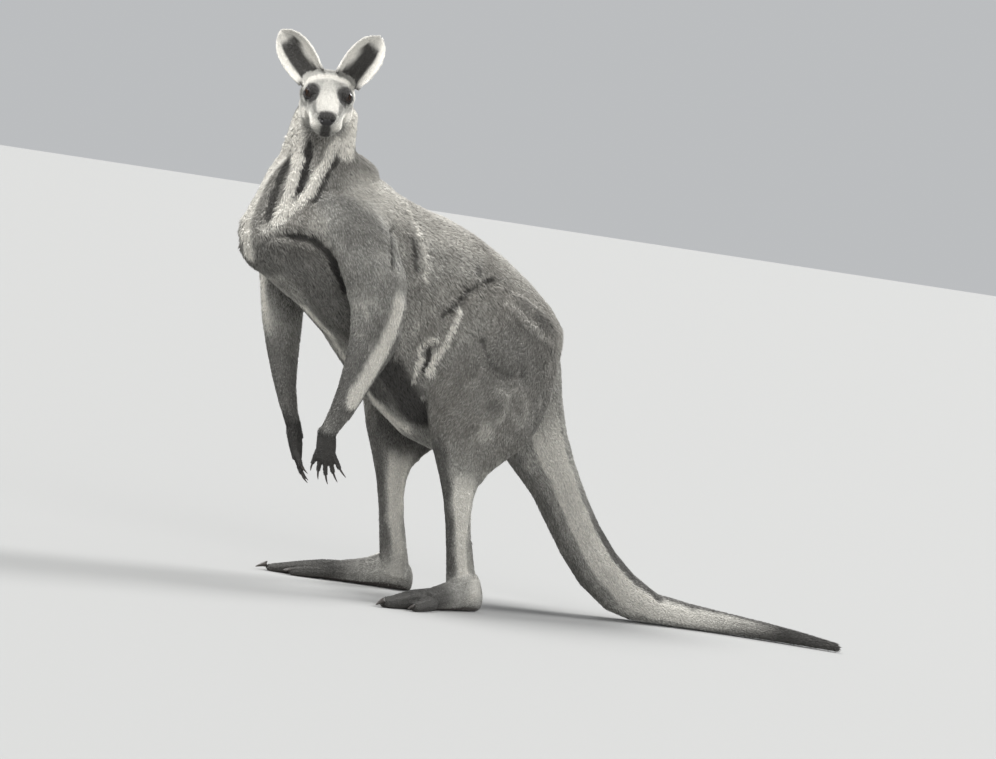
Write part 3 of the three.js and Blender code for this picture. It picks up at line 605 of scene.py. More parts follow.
# On the sides of the trunk and the neck the coat also falls towards the belly.
falls = by_label(part_of, {k: 0.6 * (k == "trunk") + 0.3 * (k == "neck") for k in COAT})
flow[:, 2] -= falls * np.abs(normals[:, 0])
flow = soften(mesh, flow, 30)
flow = unit(flow - normals * (flow * normals).sum(1)[:, None])


def waves(scale, offset=0.0):
    """Smooth random numbers from -1 to 1 over the animal; a larger scale is finer."""
    moved = (points * scale + offset).tolist()
    return np.array([noise.noise(p) for p in moved]) * 1.6


class Ground:
    """Places on the skin and what is known of the coat there."""

    def __init__(self, **fields):
        self.__dict__.update(fields)

    def on(self, *labels):
        """How much each place belongs to these parts."""
        return self.share_of[:, np.isin(list(COAT), labels)].sum(1)

    def middles(self, home):
        """Where the middles of tufts would be, as if no fold were pressed into the skin."""
        return into(home, self.unfolded + self.flow * self.measures[:, 1:2] / 2000)

    def at(self, faces, weights):
        """The same for places inside faces of the skin, given their weights."""
        return Ground(**{
            name: np.einsum("ij,ij...->i...", weights, values[tris[faces]])
            for name, values in self.__dict__.items()
        })


tris = triangles_of(mesh)
measures = np.array([COAT[label] for label in part])
ground = Ground(
    points=points,
    unfolded=unfolded,
    normals=normals,
    flow=flow,
    measures=soften(mesh, measures, 8),
    haunch=soften(mesh, (part == "thigh").astype(float), 60),
    scruff=soften(mesh, (part == "neck").astype(float), 60),
    share_of=soften(mesh, np.stack([part == label for label in COAT], 1).astype(float), 8),
    wobble=np.stack([waves(16, 3.0), waves(16, 13.0), waves(16, 23.0)], 1),
    blotch=waves(9, 31.0),
    mottle=waves(55, 57.0),
    clump=waves(34, 71.0),
)

# ------------------------------------------------------------ markings, painted highlights and painted shade

# Marks are painted along lines with soft, uneven borders, in the table's units.
BREAST_EDGE = [(-1.5, -56.7, 96), (-2.2, -58.6, 91.5), (-2.4, -60.6, 87), (-2.0, -62.3, 82.7),
               (-1.4, -63.6, 79), (-0.5, -64.3, 75.5), (0, -63, 70.5)]
THROAT = [(5.0, -53.4, 99.5), (5.4, -54.6, 95.0)]
BREAST = [(0, -60, 69.5), (6, -58.5, 71.5), (9, -53.5, 71), (9.4, -48, 66), (7, -43, 60)]
KEEL = [(0, -46, 60), (0, -43.6, 58), (0, -36, 51), (0, -29, 44.5), (0.5, -22.3, 40.2),
        (2.5, -16.9, 37.4)]
BELLY_SIDE = [(9.4, -29.5, 52), (8.9, -26, 48.6), (8.5, -20.9, 44), (8.3, -17.2, 41.5)]
ARM_BACK = {
    LEFT: [(19.6, -34.0, 69.5), (20.2, -34.4, 64.6), (20.2, -35.6, 59.1), (19.0, -37.2, 53.2),
           (17.1, -38.2, 47.3), (16.2, -39.4, 43.0)],
    RIGHT: [(-19.0, -36.6, 68), (-18.6, -36.8, 61), (-17.8, -37.0, 55), (-16.4, -37.0, 48.5),
            (-14.6, -36.6, 42), (-13.2, -35.8, 37.5)],
}
ARM_FRONT = {
    LEFT: [(18.3, -44.0, 66), (19.0, -41.9, 62.4), (19.5, -40.0, 59.4)],
    RIGHT: [(-15.0, -50.4, 71), (-15.4, -48.9, 64), (-15.0, -47.2, 58), (-13.9, -45.4, 51.5)],
}

# Half width, share of it that is soft, and strength of each mark on the trunk and neck.
# Painted highlights along the ridges of the throat, shoulder blade, flank, rump, thigh and knee;
# along the belly's keel the coat is pale of its own and carries a painted rim light too.
PALE_COAT_AND_HIGHLIGHT_LINES = [
    (BAND, 1.35, 0.35, 1.0), (SIDE_BAND, 1.35, 0.35, 1.0), (KEEL, 2.1, 0.75, 0.95),
    (BLADE, 0.8, 0.8, 0.75), (THIGH_EDGE, 0.85, 0.5, 0.9),
    (FLANK_WEB, 0.6, 0.4, 0.9), (RUMP_RIDGE, 1.6, 0.8, 0.2), (KNEE_LOOP[3:], 1.0, 0.9, 0.22),
    (CALF_LOOP, 0.9, 0.9, 0.2),
]
# Painted shade in the folds of the throat, armpit, shoulder, flank and thigh, and under the throat,
# breast and belly.
PAINTED_SHADE_LINES = [
    (THROAT, 2.0, 0.6, 0.5), (WEDGE, 1.2, 0.4, 0.95), (SIDE_STRIPE, 1.0, 0.4, 0.85),
    (BREAST, 5.0, 0.3, 0.57), (PECTORAL[3:], 1.25, 0.6, 0.94), (PECTORAL[:4], 0.8, 0.7, 0.6),
    (BELLY_SIDE, 4.6, 0.5, 0.92), (SHOULDER_CUT, 0.9, 0.7, 0.75), (BEHIND_ARM, 0.9, 0.7, 0.75),
    (THIGH_FOLD, 0.9, 0.7, 0.85), (HAM_FOLD, 1.4, 0.9, 0.72), (FLANK_HOLLOW, 1.1, 0.5, 0.9),
]
# Centre, radii and strength of rounded marks.
# Painted light on the front of the breast, the shoulders, the back and the knee.
PAINTED_LIGHT_SPOTS = [
    ((6.9, -60.0, 81.2), (2.4, 2.6, 3.2), 1.0), ((6.0, -62.4, 77.2), (2.6, 2.2, 2.6), 0.45),
    ((10.5, -37, 88), (9, 13, 8), 0.42), ((9, -20, 83), (9, 16, 7), 0.25),
    ((12, -52, 80), (2.6, 5, 2.4), 0.35), ((19.2, -6.2, 40.2), (3, 3.0, 3.2), 0.3),
]
# Painted shade on the chest and belly, at the root of the tail, in the hollows of the thigh and
# knee, and on the side of the neck.
PAINTED_SHADE_SPOTS = [
    ((8.5, -54, 70), (6, 10, 7), 0.5), ((7, -42, 60), (8, 11, 8), 0.6),
    ((6, -28, 47), (9, 13, 9), 0.75), ((16, 6, 60), (8, 10, 9), 0.25),
    ((12.4, -10.8, 75.4), (2.2, 1.3, 2.4), 0.6), ((19.5, -5.6, 46.0), (3, 3.8, 2.2), 0.56),
    ((17.8, 3.8, 43.8), (3.4, 1.7, 5.4), 0.34), ((15.6, 6.6, 61.6), (2.2, 2.0, 1.8), 0.45),
    ((15.0, 9.0, 44.0), (5, 3.2, 7.0), 0.5), ((9.5, -53, 88), (3, 5, 5), 0.3),
]

# The same for the face, in the head's frame.
BROW_MARK = [(0.0, 1.0, 5.4), (1.6, 0.8, 5.3), (3.2, 1.0, 4.9), (4.6, 1.6, 4.0), (5.6, 2.6, 2.6),
             (5.9, 3.4, 0.8)]
CHEEK_MARK = [(2.2, -12.4, -1.2), (3.3, -9.6, -1.4), (3.7, -6.0, -1.8), (4.5, -2.5, -2.6),
              (5.4, 1.2, -3.2), (5.6, 4.0, -4.2)]
JAW_MARK = [(5.7, 3.2, 0.5), (5.9, 3.4, -2.0), (5.4, 4.0, -4.6)]
RUFF = [(6.1, 3.6, -3.4), (6.9, 4.4, -6.3), (6.8, 3.2, -8.6), (5.6, 1.0, -10.6)]
BRIDGE = [(0, -0.6, 4.9), (0, -3.0, 4.3), (0, -6.0, 3.6), (0, -8.8, 3.0), (0, -10.4, 2.7)]
MUZZLE_SIDE = [(3.4, -4.4, 2.0), (3.2, -7.0, 1.5), (2.8, -10.4, 1.2), (1.8, -12.0, 1.6)]
NOSE_TOP = [(1.1, -12.6, 1.7), (0, -12.7, 1.9), (0, -13.4, 1.2), (1.3, -13.2, 0.9)]
CHIN = [(0, -13.9, -1.0), (0, -13.2, -2.6), (0, -12.2, -3.6), (0, -10.6, -4.6)]
FACE_PALE = [(BROW_MARK, 1.1, 0.4, 0.7), (CHEEK_MARK, 1.4, 0.5, 0.8),
             (JAW_MARK, 1.4, 0.5, 1.0)]
FACE_DARK = [(MUZZLE_SIDE, 0.7, 0.6, 0.5), (NOSE_TOP, 1.1, 0.5, 0.97), (CHIN, 1.4, 0.4, 0.92)]


def streak(line, width, softness, where):
    """1 on a line, 0 beyond its width."""
    return 1 - ease(width * (1 - softness), width * (1 + softness * 0.5), along(line, where)[0])


def spot(centre, radii, where, softness=0.5):
    """1 in a rounded place, 0 outside it."""
    far = np.linalg.norm((where - centre) / np.array(radii, float), axis=1)
    return 1 - ease(1 - softness, 1, far)


class Marks:
    """How pale and how dark the coat is at each place, painted highlights and shade included: of
    two marks the stronger stays.
    """

    def __init__(self, count):
        self.pale = np.zeros(count)
        self.dark = np.zeros(count)

    def lighten(self, values):
        self.pale = np.maximum(self.pale, np.clip(values, 0, 1))

    def darken(self, values):
        self.dark = np.maximum(self.dark, np.clip(values, 0, 1))


def mark_trunk(g, marks, body, ragged):
    """The bands of the throat and breast, the keel, and the folds of flank and thigh, as painted
    highlights on the ridges and painted shade in the folds and under the body.
    """
    torso = g.on("trunk", "neck")
    furred = torso + g.on("thigh", "tail_base", "upper_arm")
    half = folded(ragged)
    # The folds of the right flank and thigh are painted more softly.
    shown = furred * (1 - 0.55 * ease(0, -6, ragged[:, 0]) * ease(-42, -36, ragged[:, 1]))
    for line, width, softness, strength in PALE_COAT_AND_HIGHLIGHT_LINES:
        marks.lighten(streak(line, width, softness, half) * strength * shown)
    for line, width, softness, strength in PAINTED_SHADE_LINES:
        marks.darken(streak(line, width, softness, half) * strength * shown)
    # Painted shade in the throat's inner fold on the left side, and a painted rim highlight down
    # the edge of the breast.
    inner = streak(INNER_STRIPE, 1.2, 0.4, ragged) * (ragged[:, 0] > 0)
    marks.darken(inner * 0.85 * torso)
    marks.lighten(streak(BREAST_EDGE, 2.6, 0.4, ragged) * 0.95 * torso)
    for centre, radii, strength in PAINTED_LIGHT_SPOTS:
        marks.lighten(spot(centre, radii, half) * strength * shown)
    for centre, radii, strength in PAINTED_SHADE_SPOTS:
        marks.darken(spot(centre, radii, half) * strength * shown)
    # Painted shade: the thighs, the arms and the neck are darker than the back, as under a light
    # from above.
    marks.darken(g.haunch * (0.34 + 0.16 * ease(46, 58, body[:, 2])))
    marks.darken(g.scruff * 0.26 + g.on("upper_arm") * 0.14 + g.on("forearm") * 0.6)


def mark_arm(g, marks, s, body, ragged):
    """A painted highlight in a strip down the back of the arm, a thin one before, and a dark
    forearm.
    """
    arm = g.on("upper_arm", "forearm")
    down = along(ARM_BACK[s], ragged)[2]
    # Painted highlights along the lit edges of the arm.
    marks.lighten(streak(ARM_BACK[s], 2.2, 0.5, ragged) * ease(0, 0.12, down) * 0.9 * arm)
    width, strength = (0.9, 0.35) if s == LEFT else (1.8, 0.95)
    down = along(ARM_FRONT[s], ragged)[2]
    fade = ease(0, 0.3, down) * ease(1, 0.6, down)
    marks.lighten(streak(ARM_FRONT[s], width, 0.8, ragged) * fade * strength * arm)
    offset = along(course("forearm", s)[1], body)[3]
    mine = np.sign(body[:, 0]) == s
    marks.darken(ease(0.8, 3.2, -offset[:, 1]) * 0.5 * g.on("forearm") * mine)


def mark_shank(g, marks, s, body):
    """The lower leg is dark before, with a strip of painted light beside, and painted shade behind,
    over the heel.
    """
    far, _, _, offset = along(course("shank", s)[1], body)
    front = -offset[:, 1] / np.maximum(far, 0.1) + g.wobble[:, 0] * 0.12
    shank = g.on("shank") * (np.sign(body[:, 0]) == s)
    # A strip of painted light where the shin faces the light.
    strip = ease(0.72, 0.5, front) * ease(-0.98, -0.6, front)
    marks.lighten(strip * ease(33, 27, body[:, 2] + g.wobble[:, 1]) * 0.85 * shank)
    # Painted shade behind the lower leg, over the heel.
    behind = ease(-0.1, -0.6, front) * ease(20, 14, body[:, 2])
    marks.darken(np.maximum(ease(0.66, 0.86, front) * 0.68, behind * 0.5) * shank)
    marks.pale *= 1 - behind * 0.6 * shank


def mark_foot(g, marks, s, body):
    """Dark toes and sole edges, and a paler heel."""
    foot = into(foot_frame(s), g.points)
    instep = g.on("foot") * (np.sign(body[:, 0]) == s)
    marks.darken(ease(4, 18, -foot[:, 1] + g.wobble[:, 1] * 2) * 0.88 * instep)
    marks.darken(ease(3.5, 0.5, foot[:, 2]) * 0.5 * instep)
    marks.lighten(hump(foot[:, 1], -3.5, 4.0) * ease(1, 4, foot[:, 2]) * 0.55 * instep)


def mark_limbs(g, marks, body, ragged):
    """Arms and legs get painted shade on their inner sides, and the hands are dark."""
    # Painted shade on the inner sides of the arms and legs.
    inside = np.clip(-np.sign(body[:, 0]) * turned(body_frame, unit(g.normals))[:, 0], 0, 1)
    marks.darken(ease(0.2, 0.7, inside) * ease(50, 60, body[:, 2]) * 0.26
                 * g.on("upper_arm", "forearm"))
    marks.darken(ease(0.3, 0.8, inside) * ease(26, 34, body[:, 2]) * 0.72
                 * g.on("thigh", "shank"))
    for s in (LEFT, RIGHT):
        mark_arm(g, marks, s, body, ragged)
        mark_shank(g, marks, s, body)
        mark_foot(g, marks, s, body)
    wrist = ease(40.5, 36, body[:, 2] + g.wobble[:, 1] * 1.5)
    marks.darken(wrist * 0.92 * g.on("forearm", "hand"))


def mark_tail(g, marks, body):
    """A dark ridge and a dark end, painted shade on the underside, and painted light on the sides,
    which face down into shade.
    """
    tail = g.on(*TAIL)
    down = along(PATHS["tail"], body)[2]
    tail_end = ease(0.66, 0.9, down + g.wobble[:, 2] * 0.02)
    above = unit(g.normals) @ np.array([0, 0.75, 0.66]) + g.wobble[:, 0] * 0.08
    ridge = ease(0.28, 0.6, above) * ease(0.25, 0.42, down)
    marks.darken(np.maximum(tail_end, ridge * 0.85) * 0.9 * tail)
    # Painted shade on the underside near the base.
    marks.darken(ease(0.45, 0.9, -above) * ease(0.6, 0.45, down) * 0.5 * tail)
    # Painted light on the sides of the tail.
    side = ease(-0.62, -0.3, above) * ease(0.55, 0.25, above)
    marks.lighten(side * (1 - tail_end) * ease(0.06, 0.18, down) * 0.68 * tail)


def mark_face(g, marks):
    """The pale bridge, brow, cheek and ruff, and the dark eye hollow and chin."""
    head = g.on("head")
    both = folded(into(head_frame, g.points))
    face = folded(g.middles(head_frame)) + g.wobble * 0.16
    breadth = ease(-0.5, -8.5, both[:, 1])
    white = 1 - ease(1.0 + 1.4 * breadth, 1.5 + 1.7 * breadth, along(BRIDGE, face)[0])
    white = white * ease(-12.2, -11.2, face[:, 1]) * (0.18 + 0.24 * ease(-2, -7, face[:, 1]))
    marks.lighten(white * head)
    marks.lighten(streak(RUFF, 3.1, 0.5, face) * g.on("head", "neck"))
    for line, width, softness, strength in FACE_PALE:
        marks.lighten(streak(line, width, softness, face) * strength * head)
    for line, width, softness, strength in FACE_DARK:
        marks.darken(streak(line, width, softness, face) * strength * head)
    marks.lighten(spot((0, -2, -6.4), (3.2, 6, 2.2), face) * 0.5 * head)
    marks.darken(spot((3.7, -3.0, 2.4), (2.9, 3.7, 2.8), face, 0.35) * 0.97 * head)
    marks.darken(spot((0, 3.2, 6.2), (3.4, 1.6, 1.6), face) * 0.4 * head)
    nose = np.maximum(spot((0.5, -13.9, -0.1), (1.45, 1.7, 1.15), face, 0.25),
                      streak(NOSTRIL, 0.42, 0.5, both))
    return nose * head, streak(MOUTH, 0.30, 0.5, both) * head


def mark_ear(g, marks, s):
    """A pale rim, a dark hollow, and a pale patch on the hollow's inner side."""
    ear = into(ear_frame(s), g.points)
    up = np.clip(ear[:, 2] / 12.5, 0, 1)
    half_width = 4.3 * (0.72 + 0.62 * up) * np.maximum(1 - up**2.2, 0.02) ** 0.62
    curl = np.radians(112 - 58 * up**0.6)
    radius = half_width / np.where(curl > math.pi / 2, 1, np.sin(curl))
    middle = ear[:, 1] + radius * 0.75 - 0.9 * up**2
    bend = np.arctan2(ear[:, 0], middle) * s
    mine = (g.on("ear") > 0.5) & (np.sign(into(head_frame, g.points)[:, 0]) == s)
    inner = ease(-0.2, 0.3, radius - np.hypot(ear[:, 0], middle)) * mine
    edge = np.abs(bend) / curl + g.wobble[:, 0] * 0.06
    rim = np.maximum(ease(0.40, 0.58, edge), ease(0.74, 0.88, up))
    rim = rim * ease(0.0, 0.14, up) * mine
    rim_pale = rim * (0.8 - 0.3 * (bend < 0) * ease(0.45, 0.75, up))
    marks.pale = np.where(mine, rim_pale, marks.pale)
    hollow = inner * (1 - rim)
    patch = hump(bend / curl, -0.52, 0.36) * hump(up, 0.40, 0.30)
    marks.lighten(inner * patch * 0.85)
    marks.dark = np.where(mine, hollow * (1 - patch) * 0.96, marks.dark)
    return hollow


def markings_and_painted_light(g):
    """How pale, dark, warm and black the coat is at each place, painted highlights and painted
    shade included, and where the ears are open.
    """
    body = into(body_frame, g.points)
    ragged = g.middles(body_frame) + g.wobble * 0.36 + g.mottle[:, None] * 0.3
    marks = Marks(len(body))
    mark_trunk(g, marks, body, ragged)
    mark_limbs(g, marks, body, ragged)
    mark_tail(g, marks, body)
    nose, lips = mark_face(g, marks)
    hollow_of_ears = np.maximum(*(mark_ear(g, marks, s) for s in (LEFT, RIGHT)))
    # The crown of the coat is browner; flanks vary in soft blotches and small flecks.
    torso = g.on("trunk", "neck")
    limbs = g.on("thigh", "shank", "foot", "upper_arm", "forearm", "hand")
    broad = torso + g.on("thigh")
    crown = turned(body_frame, unit(g.normals))[:, 2]
    warm = np.clip(0.35 + 0.35 * crown + 0.25 * g.blotch, 0, 1) * broad
    marks.darken(np.clip(g.blotch * 0.4 - 0.06, 0, 0.26) * (broad + limbs * 0.3))
    flecked = torso + limbs - g.on("hand") - g.on("foot") * 0.8 + g.on(*TAIL)
    marks.lighten(np.clip(g.mottle * 0.34 - 0.08, 0, 0.2) * flecked * (1 - marks.dark))
    return marks.pale, marks.dark * (1 - marks.pale * 0.7), warm, nose, lips, hollow_of_ears


pale, dark, warm, nose, lips, hollow_of_ears = markings_and_painted_light(ground)

# Where nothing grows: the nose, the lids, the lips, the soles and whatever lies on the floor.
feet, head = ground.on("foot"), ground.on("head")
lid_skin = soften(mesh, np.maximum(lid, socket), 1)
sole = ease(0.35, 0.8, -normals[:, 2]) * (points[:, 2] < 0.012) * (feet > 0.3)
on_floor = ease(0.4, 0.9, -normals[:, 2]) * (points[:, 2] < 0.006)
mouth_gap = streak(MOUTH, 0.34, 0.4, folded(into(head_frame, points))) * head
ground.bare = np.clip(nose * 1.2 + ease(0.25, 0.6, lid_skin) + sole + on_floor + mouth_gap
                      + hollow_of_ears * 0.35, 0, 1)
# Where the coat stands out: the throat, the groin, the web of the flank and over the rump.
half = folded(into(body_frame, unfolded))
face = folded(into(head_frame, unfolded))
ground.loose = np.max([
    spot((9.5, 9.5, 65), (6, 7, 6.5), half) * 0.9,
    streak(BAND, 2.0, 0.6, half) * 0.4,
    streak(FLANK_WEB, 2.2, 0.6, half) * 0.5,
    streak(BELLY_SIDE, 3.0, 0.6, half) * 0.4,
    spot((0, -24, 44), (11, 16, 7), half) * 0.5,
    spot((3, 15.6, 64.5), (6, 3.2, 3.6), half) * 1.6,
    streak(RUFF, 2.6, 1.2, face) * (0.7 + 1.5 * head),
    streak(JAW_MARK, 2.0, 1.0, face) * 1.8,
], axis=0)

for name, values in (("pale", pale), ("dark", dark), ("warm", warm), ("nose", nose),
                     ("lips", np.maximum(lips, ease(0.3, 0.8, lid_skin))), ("sole", sole)):
    set_values(mesh, name, values)
lay = mesh.attributes.new("grain", "FLOAT_VECTOR", "POINT")
lay.data.foreach_set("vector", grain.astype(np.float32).ravel())

# ------------------------------------------------------------ materials


class Value:
    """A number that varies over a surface and can be used in sums."""

    def __init__(self, finish, socket):
        self.finish = finish
        self.socket = socket

    def sum_of(self, operation, *values):
        return self.finish.node(
            "ShaderNodeMath", {"operation": operation}, dict(enumerate(values))
        )

    def __add__(self, other):
        return self.sum_of("ADD", self, other)

    def __sub__(self, other):
        return self.sum_of("SUBTRACT", self, other)

    def __rsub__(self, other):
        return self.sum_of("SUBTRACT", other, self)

    def __mul__(self, other):
        return self.sum_of("MULTIPLY", self, other)

    __radd__ = __add__


class Finish:
    """One material of the animal and the nodes that colour it."""

    def __init__(self, name, **shader):
        self.material = bpy.data.materials.new(name)
        self.material.use_nodes = True
        self.tree = self.material.node_tree
        self.shader = self.tree.nodes["Principled BSDF"]
        for socket, value in shader.items():
            label = socket.replace("_", " ").title().replace("Ior", "IOR")
            self.shader.inputs[label].default_value = value

    def node(self, kind, settings=None, inputs=None, out=0):
        """Any node: its settings are made first, then its sockets get values or links."""
        made = self.tree.nodes.new(kind)
        for key, value in (settings or {}).items():
            setattr(made, key, value)
        for key, value in (inputs or {}).items():
            self.give(made.inputs[key], value)
        return Value(self, made.outputs[out])

    def give(self, socket, value):
        if isinstance(value, Value):
            self.tree.links.new(value.socket, socket)
        elif socket.type == "RGBA" and len(value) == 3:
            socket.default_value = (*value, 1)
        else:
            socket.default_value = value

    def attribute(self, name, out="Fac"):
        return self.node("ShaderNodeAttribute", {"attribute_name": name}, {}, out)

    def place(self):
        return self.node("ShaderNodeTexCoord", {}, {}, "Object")

    def grains(self, where, scale, detail=2.0, roughness=0.5):
        """A smooth noise between 0 and 1."""
        return self.node("ShaderNodeTexNoise", {}, {
            "Vector": where, "Scale": scale, "Detail": detail, "Roughness": roughness,
        })

    def spread(self, value, low, high):
        """The value's range from low to high stretched over 0 to 1."""
        return self.node("ShaderNodeMapRange", {"interpolation_type": "SMOOTHSTEP"}, {
            "Value": value, "From Min": low, "From Max": high,
        })

    def mix(self, a, b, factor):
        """One colour over another."""
        return self.node("ShaderNodeMix", {"data_type": "RGBA", "clamp_factor": True}, {
            0: factor, 6: a, 7: b,
        }, 2)

    def bright(self, colour, amount):
        return self.node("ShaderNodeVectorMath", {"operation": "SCALE"}, {
            0: colour, "Scale": amount,
        })

    def stretched(self, where, scale):
        return self.node("ShaderNodeVectorMath", {"operation": "MULTIPLY"}, {
            0: where, 1: scale,
        })

    def bump(self, height, distance, strength=1.0):
        self.give(self.shader.inputs["Normal"], self.node("ShaderNodeBump", {}, {
            "Height": height, "Distance": distance, "Strength": strength,
        }, "Normal"))

    def colour(self, value):
        self.give(self.shader.inputs["Base Color"], value)

    def roughness(self, value):
        self.give(self.shader.inputs["Roughness"], value)


GREY_DEEP = (0.235, 0.228, 0.208)
GREY_LIGHT = (0.540, 0.530, 0.490)
BROWN = (0.330, 0.292, 0.240)
CREAM = (0.90, 0.87, 0.80)
SOOT = (0.020, 0.018, 0.016)
NOSE_BLACK = (0.013, 0.012, 0.012)
LIP_BLACK = (0.016, 0.013, 0.012)
SOLE_BROWN = (0.045, 0.036, 0.032)


def coat_colour(finish, along_hair, tone):
    """The colour of the coat, the same on the skin and on the tufts over it."""
    place = finish.place()
    patches = finish.grains(place, 11.0, 3.0)
    flecks = finish.grains(place, 240.0, 2.0)
    shade = finish.spread(patches * 0.45 + flecks * 0.35 + tone * 0.2, 0.30, 0.68)
    grey = finish.mix(GREY_DEEP, GREY_LIGHT, shade)
    grey = finish.mix(grey, BROWN, finish.attribute("warm") * 0.4)
    grey = finish.mix(grey, SOOT, finish.attribute("dark"))
    grey = finish.mix(grey, CREAM, finish.attribute("pale"))
    return finish.bright(grey, along_hair * 0.55 + 0.66 + (tone - 0.5) * 0.22)


hide = Finish("coat_skin", roughness=0.85, sheen_weight=0.05, specular_ior_level=0.35)
hide_colour = coat_colour(
    hide, hide.grains(hide.place(), 420.0) * 0.5, hide.grains(hide.place(), 130.0))
hide_colour = hide.mix(hide_colour, NOSE_BLACK, hide.attribute("nose"))
hide_colour = hide.mix(hide_colour, LIP_BLACK, hide.attribute("lips"))
hide_colour = hide.mix(hide_colour, SOLE_BROWN, hide.attribute("sole"))
hide.colour(hide_colour)
leather = hide.attribute("nose")
hide.roughness(0.86 - leather * 0.44 - hide.attribute("lips") * 0.35)
strands = hide.grains(hide.stretched(hide.attribute("grain", "Vector"), (900, 120, 0)), 1.0, 2.0)
pores = hide.grains(hide.place(), 700.0, 1.0)
hide.bump(strands * (1 - leather) + pores * leather * 0.35, 0.0009)

tuft_finish = Finish("coat_tufts", roughness=0.8, sheen_weight=0.05, sheen_roughness=0.45)
tuft_finish.colour(coat_colour(
    tuft_finish, tuft_finish.attribute("along"), tuft_finish.attribute("tone")))

# ------------------------------------------------------------ the coat

rng = np.random.default_rng(11)
corners = points[tris]
area = np.linalg.norm(
    np.cross(corners[:, 1] - corners[:, 0], corners[:, 2] - corners[:, 0]), axis=1) / 2
tri_part = part[tris[:, 0]]
tri_left = on_left[tris[:, 0]]
tri_right_half = points[tris[:, 0], 0] < 0
CHEST_FROM = -29  # the coat of the chest lies before this place, that of the flank behind
tri_before = into(body_frame, points)[tris[:, 0], 1] < CHEST_FROM
wanted = area * 1e4 * (ground.measures[:, 3] * (1 - ground.bare))[tris].mean(1)

# A tuft is a thin closed leaf with five corners.
CORNERS = 5
TUFT_FACES = np.array([[0, 1, 2], [0, 2, 3], [0, 3, 1], [4, 2, 1], [4, 3, 2], [4, 1, 3]])
TUFT_PATCH = np.array([[0, 0], [-0.0015, 0.0012], [0, 0.0015], [0.0015, 0.0012], [0, 0.003]])
WIDE_AT = 0.42  # where a tuft is widest, as a share of its length
ROOT_SUNK = 0.0006
OFF_FLOOR = 0.0005


def rooted(chosen):
    """Random places for tufts on the chosen faces of the skin: the faces and the ground."""
    faces = np.nonzero(chosen)[0]
    grown = np.cumsum(wanted[faces]) + rng.random()
    counts = np.diff(np.floor(np.concatenate([[0], grown]))).astype(int)
    faces = np.repeat(faces, counts)
    u, v = rng.random((2, len(faces)))
    over = u + v > 1
    u[over], v[over] = 1 - u[over], 1 - v[over]
    return faces, ground.at(faces, np.stack([1 - u - v, u, v], 1))


def tuft_corners(g):
    """The corners of each tuft: its root, its left side, back and right side, and its tip."""
    count = len(g.points)
    root, out = g.points, unit(g.normals)
    depth, length, width = g.measures[:, :3].T / 1000
    yaw = 0.30 * g.clump + 0.16 * rng.standard_normal(count)
    lie = unit(g.flow - out * (g.flow * out).sum(1)[:, None])
    side = np.cross(out, lie)
    lie = lie * np.cos(yaw)[:, None] + side * np.sin(yaw)[:, None]
    side = np.cross(out, lie)
    length = length * (0.78 + 0.44 * rng.random(count)) * (1 + 0.35 * g.loose)
    width = width * (0.75 + 0.5 * rng.random(count))
    high = depth * (0.62 + 0.42 * rng.random(count) + 0.10 * g.mottle) * (1 + 0.8 * g.loose)

    def step(ahead, aside, up):
        return root + lie * ahead[:, None] + side * aside[:, None] + out * up[:, None]

    low = 0.58 * high - 0.08 * width
    level = np.zeros(count)
    spots = np.stack([
        step(-0.06 * length, level, level - ROOT_SUNK),
        step(WIDE_AT * length, -0.5 * width, low),
        step(0.40 * length, level, low + 0.34 * width),
        step(WIDE_AT * length, 0.5 * width, low),
        step(length, level, high),
    ], 1).reshape(-1, 3)
    spots[:, 2] = np.maximum(spots[:, 2], OFF_FLOOR)
    return spots


def tuft_mesh(name, spots):
    """One mesh of all the tufts with these corners, and the corner of each face's end."""
    count = len(spots) // CORNERS
    first = np.arange(count)[:, None, None] * CORNERS
    ends = (first + TUFT_FACES).reshape(-1).astype(np.int32)
    made = bpy.data.meshes.new(name)
    made.vertices.add(len(spots))
    made.loops.add(len(ends))
    made.polygons.add(len(ends) // 3)
    made.vertices.foreach_set("co", spots.astype(np.float32).ravel())
    made.loops.foreach_set("vertex_index", ends)
    made.polygons.foreach_set("loop_start", np.arange(0, len(ends), 3, dtype=np.int32))
    made.polygons.foreach_set("use_smooth", np.ones(len(ends) // 3, bool))
    made.update(calc_edges=True)
    return made, ends


def joined_tufts(name, chosen, spread):
    """All the tufts that grow on the chosen faces of the skin, with their colours and map."""
    faces, g = rooted(chosen)
    pale, dark, warm = markings_and_painted_light(g)[:3]
    turn, share = lie_of(g.points, tri_part[faces], tri_left[faces])[1:3]
    made, ends = tuft_mesh(name, tuft_corners(g))
    for field, values in (("pale", pale), ("dark", dark), ("warm", warm),
                          ("tone", rng.random(len(faces)))):
        set_values(made, field, np.repeat(values, CORNERS))
    set_values(made, "along", np.tile([0, WIDE_AT, 0.5, WIDE_AT, 1], len(faces)))
    # Each tuft is a small patch at its root's place on the unrolled skin.
    home = np.stack(spread(turn, share, g.points, unit(g.normals)), 1)
    home = 0.01 + 0.975 * (home - home.min(0)) / np.maximum(np.ptp(home, axis=0), 1e-9)
    unrolled = (home[:, None] + TUFT_PATCH).reshape(-1, 2)
    unwrap = made.uv_layers.new(name="OFBake")
    unwrap.data.foreach_set("uv", unrolled[ends].astype(np.float32).ravel())
    tufts = bpy.data.objects.new(name, made)
    bpy.context.collection.objects.link(tufts)
    made.materials.append(tuft_finish.material)
    made.validate()
    return tufts


def round_and_along(turn, share, root, out):
    return turn / (2 * math.pi), share


def half_round(turn, share, root, out):
    return np.abs(turn) / math.pi, share


